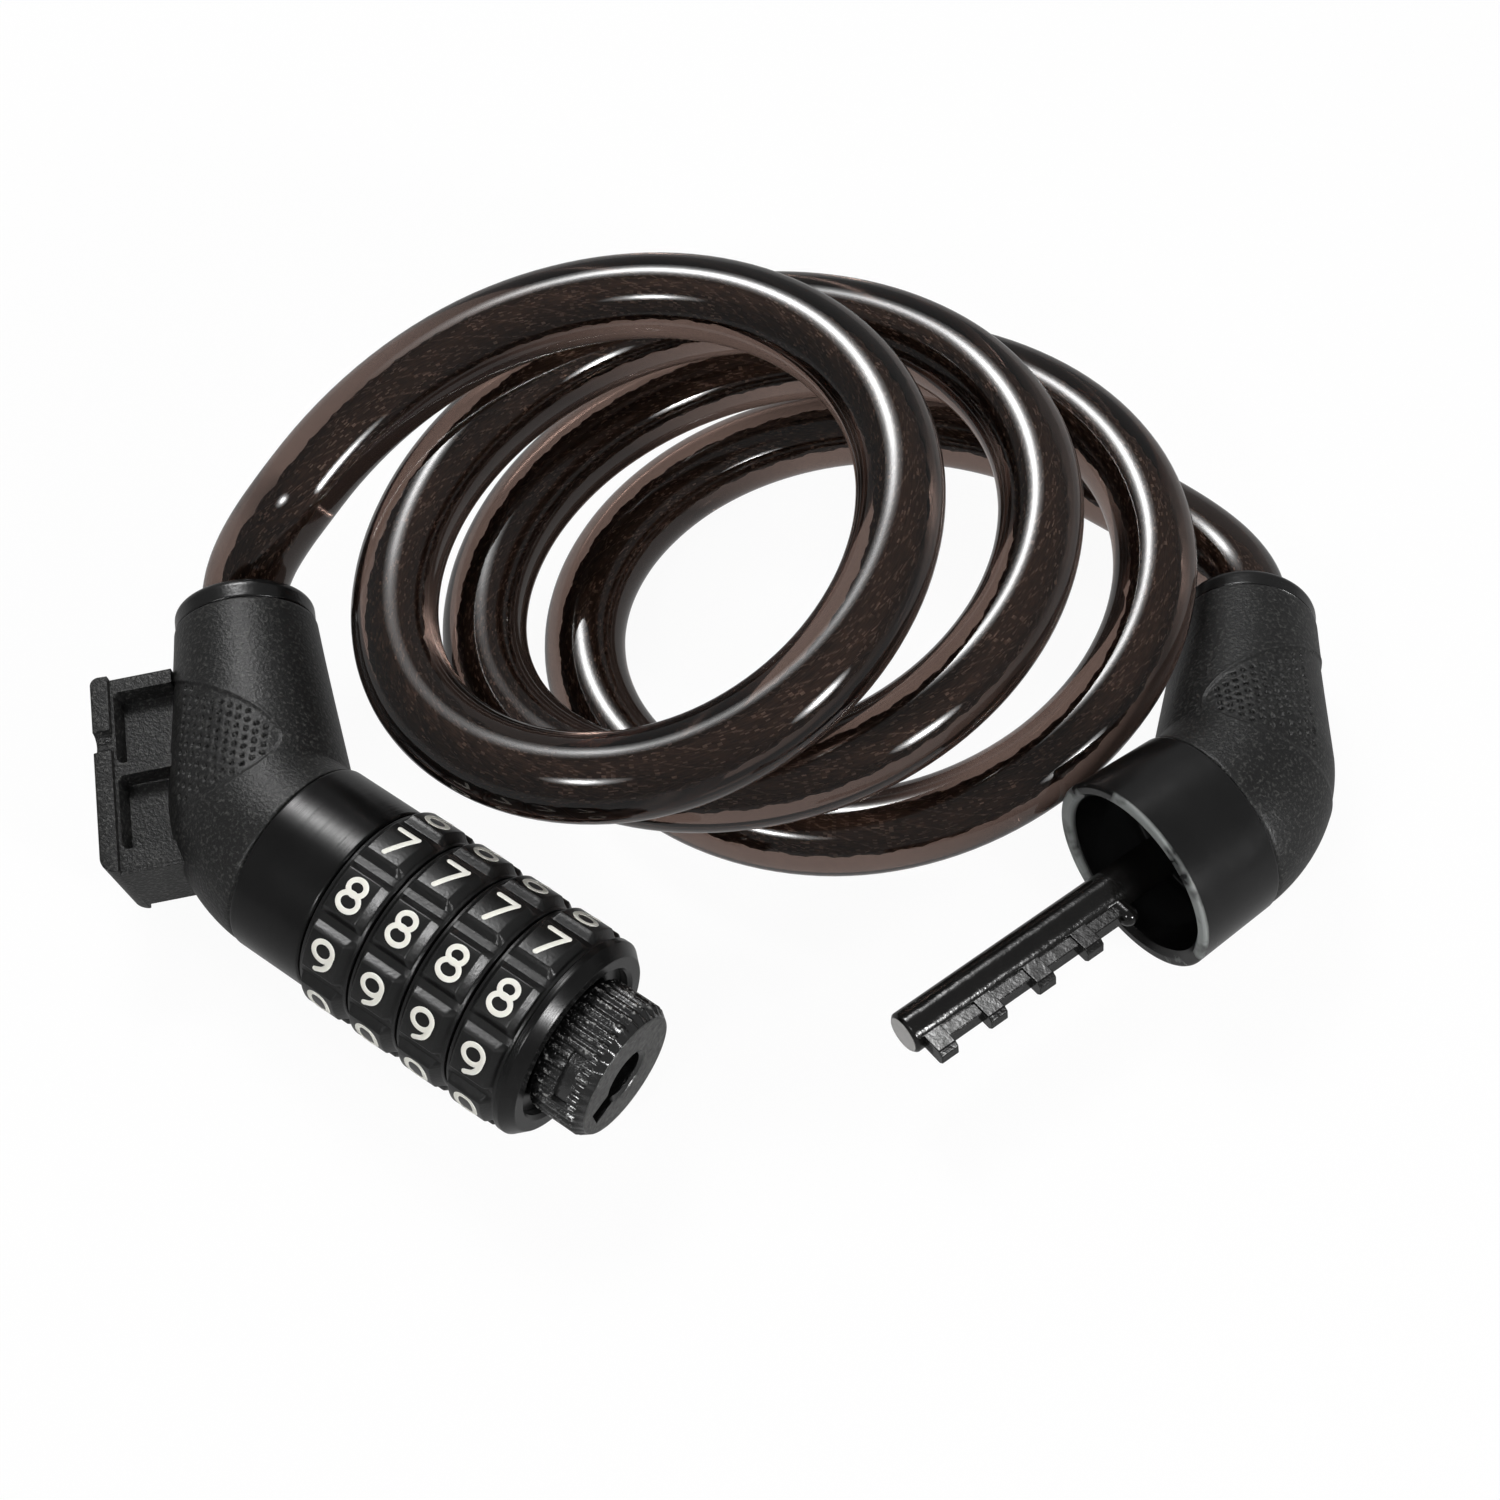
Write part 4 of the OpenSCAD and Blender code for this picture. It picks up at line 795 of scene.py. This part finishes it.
radius = np.vstack([radius, mouth + 0.05, mouth - 0.05, bore + 0.02, bore, bore, cavity, cavity, recess, recess])
x = np.concatenate([x, [KNOB_END, KNOB_END - 0.05, KNOB_END - 0.5, KNOB_END - 0.6, CAVITY_FROM, CAVITY_FROM, CAVITY_TO,
                        CAVITY_TO, KNOB_X]])
made = keyed("knurled_knob", x, turn, radius, knob_abs, "knob_body", 38)
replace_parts(made, "reset_knob")

# Shroud: the cup that closes over the knob, polished ABS. Its rim is scuffed pale and dull in patches where it meets
# the collar.
RIM_X, SHROUD_R, CUP_R, CUP_X = 20.5, 14.6, 12.3, 9.5
scuffed_abs, tree, where, tone, rough = black_plastic("scuffed_polished_abs", (0.16, 0.32))
spot = surface(tree)
patch = node(tree, "TexNoise", {"Vector": where, "Scale": 75.0, "Detail": 4.0, "Roughness": 0.7}).outputs["Fac"]
patch = node(tree, "MapRange", {"Value": patch, "From Min": 0.46, "From Max": 0.56}).outputs[0]
rim = node(tree, "MapRange", {"Value": spot["X"], "From Min": RIM_X - 0.7, "From Max": RIM_X - 0.25}).outputs[0]
rim = node(tree, "Math", {0: rim, 1: patch}, operation="MULTIPLY").outputs[0]
tone = node(tree, "MixRGB", {"Fac": rim, "Color1": tone, "Color2": linear("8D918F")}).outputs[0]
rough = node(tree, "Math", {0: rim, 1: 0.3, 2: rough}, operation="MULTIPLY_ADD").outputs[0]
rise = node(tree, "Bump", {"Height": patch, "Distance": 0.00005, "Strength": 0.2}).outputs[0]
shell(tree, tone, rough, rise, 1.52, 0.45)

points, faces, uv = lathed([(BOOT_FACE, SPIGOT_R + 0.05, 0.1), (BOOT_FACE, RING_R, 0.4), (RIM_X, SHROUD_R, 0.5),
                            (RIM_X, CUP_R + 0.8, 0.2), (RIM_X - 0.8, CUP_R, 0.3), (CUP_X, CUP_R, 0.5),
                            (CUP_X, SPIGOT_R + 0.05, 0.1)])
made = put("glossy_shroud", in_plug(points), faces, scuffed_abs, "lock", uv)
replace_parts(made, "shroud")

# Lock pin: turned steel with a milled rib, a peg and four bits, blackened and oiled, so that it shines unevenly. Its
# end face is rubbed bare and pale.
PIN_R, PIN_TIP, PEG_X, RIB_REACH = 3.0, 60.2, 25.2, 4.6
BIT_W, BIT_REACH, BIT_MID = 2.8, 6.4, 57.3
black_oxide, tree = fresh("black_oxide_steel")
where = node(tree, "TexCoord").outputs["Object"]
spot = surface(tree)
cloud = node(tree, "TexNoise", {"Vector": where, "Scale": 350.0, "Detail": 4.0, "Roughness": 0.65}).outputs["Fac"]
bare = node(tree, "MapRange", {"Value": spot["X"], "From Min": PIN_TIP - 0.12, "From Max": PIN_TIP - 0.02}).outputs[0]
tone = node(tree, "MixRGB", {"Fac": cloud, "Color1": linear("0B0B0B"), "Color2": linear("181716")}).outputs[0]
tone = node(tree, "MixRGB", {"Fac": bare, "Color1": tone, "Color2": linear("C4C2C0")}).outputs[0]
rough = node(tree, "MapRange", {"Value": cloud, "To Min": 0.05, "To Max": 0.22}).outputs[0]
metal = node(tree, "MapRange", {"Value": bare, "To Min": 0.1, "To Max": 0.3}).outputs[0]
rise = node(tree, "Bump", {"Height": cloud, "Distance": 0.0002, "Strength": 0.5}).outputs[0]
steel = node(tree, "BsdfPrincipled", {"Base Color": tone, "Roughness": rough, "Metallic": metal, "IOR": 1.5,
                                      "Normal": rise})
node(tree, "OutputMaterial", {"Surface": steel.outputs[0]})


def bar(x0, x1, outline):
    """A straight bar along X with flat ends, from an outline of (y, z) points."""
    yz = np.asarray(outline, float)
    return loft(np.stack([np.column_stack([np.full(len(yz), x), yz]) for x in (x0, x1)]))


f = np.linspace(0, 2 * np.pi, 96, endpoint=False)
xr = np.array([[1.1, PIN_R], [PIN_TIP - 0.5, PIN_R], [PIN_TIP, PIN_R - 0.5]])
shaft = loft(np.stack([np.column_stack([np.full(96, x), r * np.cos(f), r * np.sin(f)]) for x, r in xr]))
rib = bar(PEG_X, BIT_MID + BIT_W / 2, [(0, -1.1), (-RIB_REACH, -1.1), (-RIB_REACH, 1.1), (0, 1.1)])
q = np.linspace(0.08, np.pi / 2, 9)
reach = np.concatenate([[0.0], -RIB_REACH - BIT_W / 2 * np.cos(q[::-1])])
width = np.concatenate([[BIT_W / 2], BIT_W / 2 * np.sin(q[::-1])])
f = np.linspace(0, 2 * np.pi, 40, endpoint=False)
peg = loft(np.stack([np.column_stack([PEG_X + w * np.cos(f), np.full(40, y), w * np.sin(f)])
                     for y, w in zip(reach, width)]))
outline = [(0, -1.4), (-BIT_REACH + 0.6, -1.4), (-BIT_REACH, -0.8), (-BIT_REACH, 0.8), (-BIT_REACH + 0.6, 1.4),
           (0, 1.4)]
bits = [bar(BIT_MID - k * PITCH - BIT_W / 2, BIT_MID - k * PITCH + BIT_W / 2, outline) for k in range(4)]
points, faces = together(shaft, rib, peg, *bits)
keyed_pin = put("toothed_pin", in_plug(points), faces, black_oxide, "lock", points[:, :2], corner=30)
bevel = keyed_pin.modifiers.new("broken_edges", "BEVEL")
bevel.width, bevel.segments, bevel.limit_method, bevel.angle_limit = 0.00014, 3, "ANGLE", np.radians(35)
bevel.harden_normals = True
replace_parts(keyed_pin, "lock_pin")


# The pieces inside: die-cast zinc cores, turned steel, plated ferrules, twisted rope ends and cast brass code rings.
def metal_finish(name, low, high, rough_low, rough_high, scale, stretch, depth):
    """A metal whose tone and roughness wander between two values, with a grain stretched along one axis."""
    made, tree = fresh(name)
    where = node(tree, "TexCoord").outputs["Object"]
    cloud = node(tree, "TexNoise", {"Vector": where, "Scale": scale, "Detail": 4.0}).outputs["Fac"]
    grain = node(tree, "Mapping", {"Vector": where, "Scale": stretch}).outputs[0]
    grain = node(tree, "TexNoise", {"Vector": grain, "Scale": 1.0, "Detail": 2.0}).outputs["Fac"]
    tone = node(tree, "MixRGB", {"Fac": cloud, "Color1": linear(low), "Color2": linear(high)}).outputs[0]
    rough = node(tree, "MapRange", {"Value": grain, "To Min": rough_low, "To Max": rough_high}).outputs[0]
    rise = node(tree, "Bump", {"Height": grain, "Distance": 0.0001, "Strength": depth}).outputs[0]
    metal = node(tree, "BsdfPrincipled", {"Base Color": tone, "Roughness": rough, "Metallic": 1.0, "Normal": rise})
    node(tree, "OutputMaterial", {"Surface": metal.outputs[0]})
    return made


cast_zinc = metal_finish("cast_zinc", "7E8184", "A3A5A7", 0.42, 0.62, 160.0, (900.0, 900.0, 900.0), 0.6)
turned_steel = metal_finish("turned_steel", "9B9DA0", "BDBFC2", 0.18, 0.36, 220.0, (5200.0, 300.0, 300.0), 0.3)
zinc_plate = metal_finish("zinc_plate", "8F8B7C", "B8B29C", 0.28, 0.48, 240.0, (700.0, 700.0, 700.0), 0.3)
strip_steel = metal_finish("strip_steel", "8A7440", "B59B5C", 0.22, 0.38, 300.0, (400.0, 4000.0, 4000.0), 0.3)
cast_brass = metal_finish("cast_brass", "8C6A2C", "C49A4A", 0.32, 0.52, 260.0, (1200.0, 1200.0, 1200.0), 0.4)
bare_rope = metal_finish("bare_rope", "5E5C58", "9C9A94", 0.3, 0.5, 500.0, (500.0, 2600.0, 2600.0), 0.9)
FINISHES = ((cast_zinc, "core_head core_plug"), (strip_steel, "detent_spring"),
            (turned_steel, "core_tube retaining_clip knob_pin pin_dowel cross_pin_head cross_pin_plug"),
            (zinc_plate, "ferrule_head ferrule_plug"), (bare_rope, "rope_end_head rope_end_plug"),
            (cast_brass, "code_ring_1 code_ring_2 code_ring_3 code_ring_4"))
for finish, names in FINISHES:
    for name in names.split():
        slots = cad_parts[name].material_slots
        if not slots:
            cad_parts[name].data.materials.append(finish)
        for place in slots:
            place.material = finish
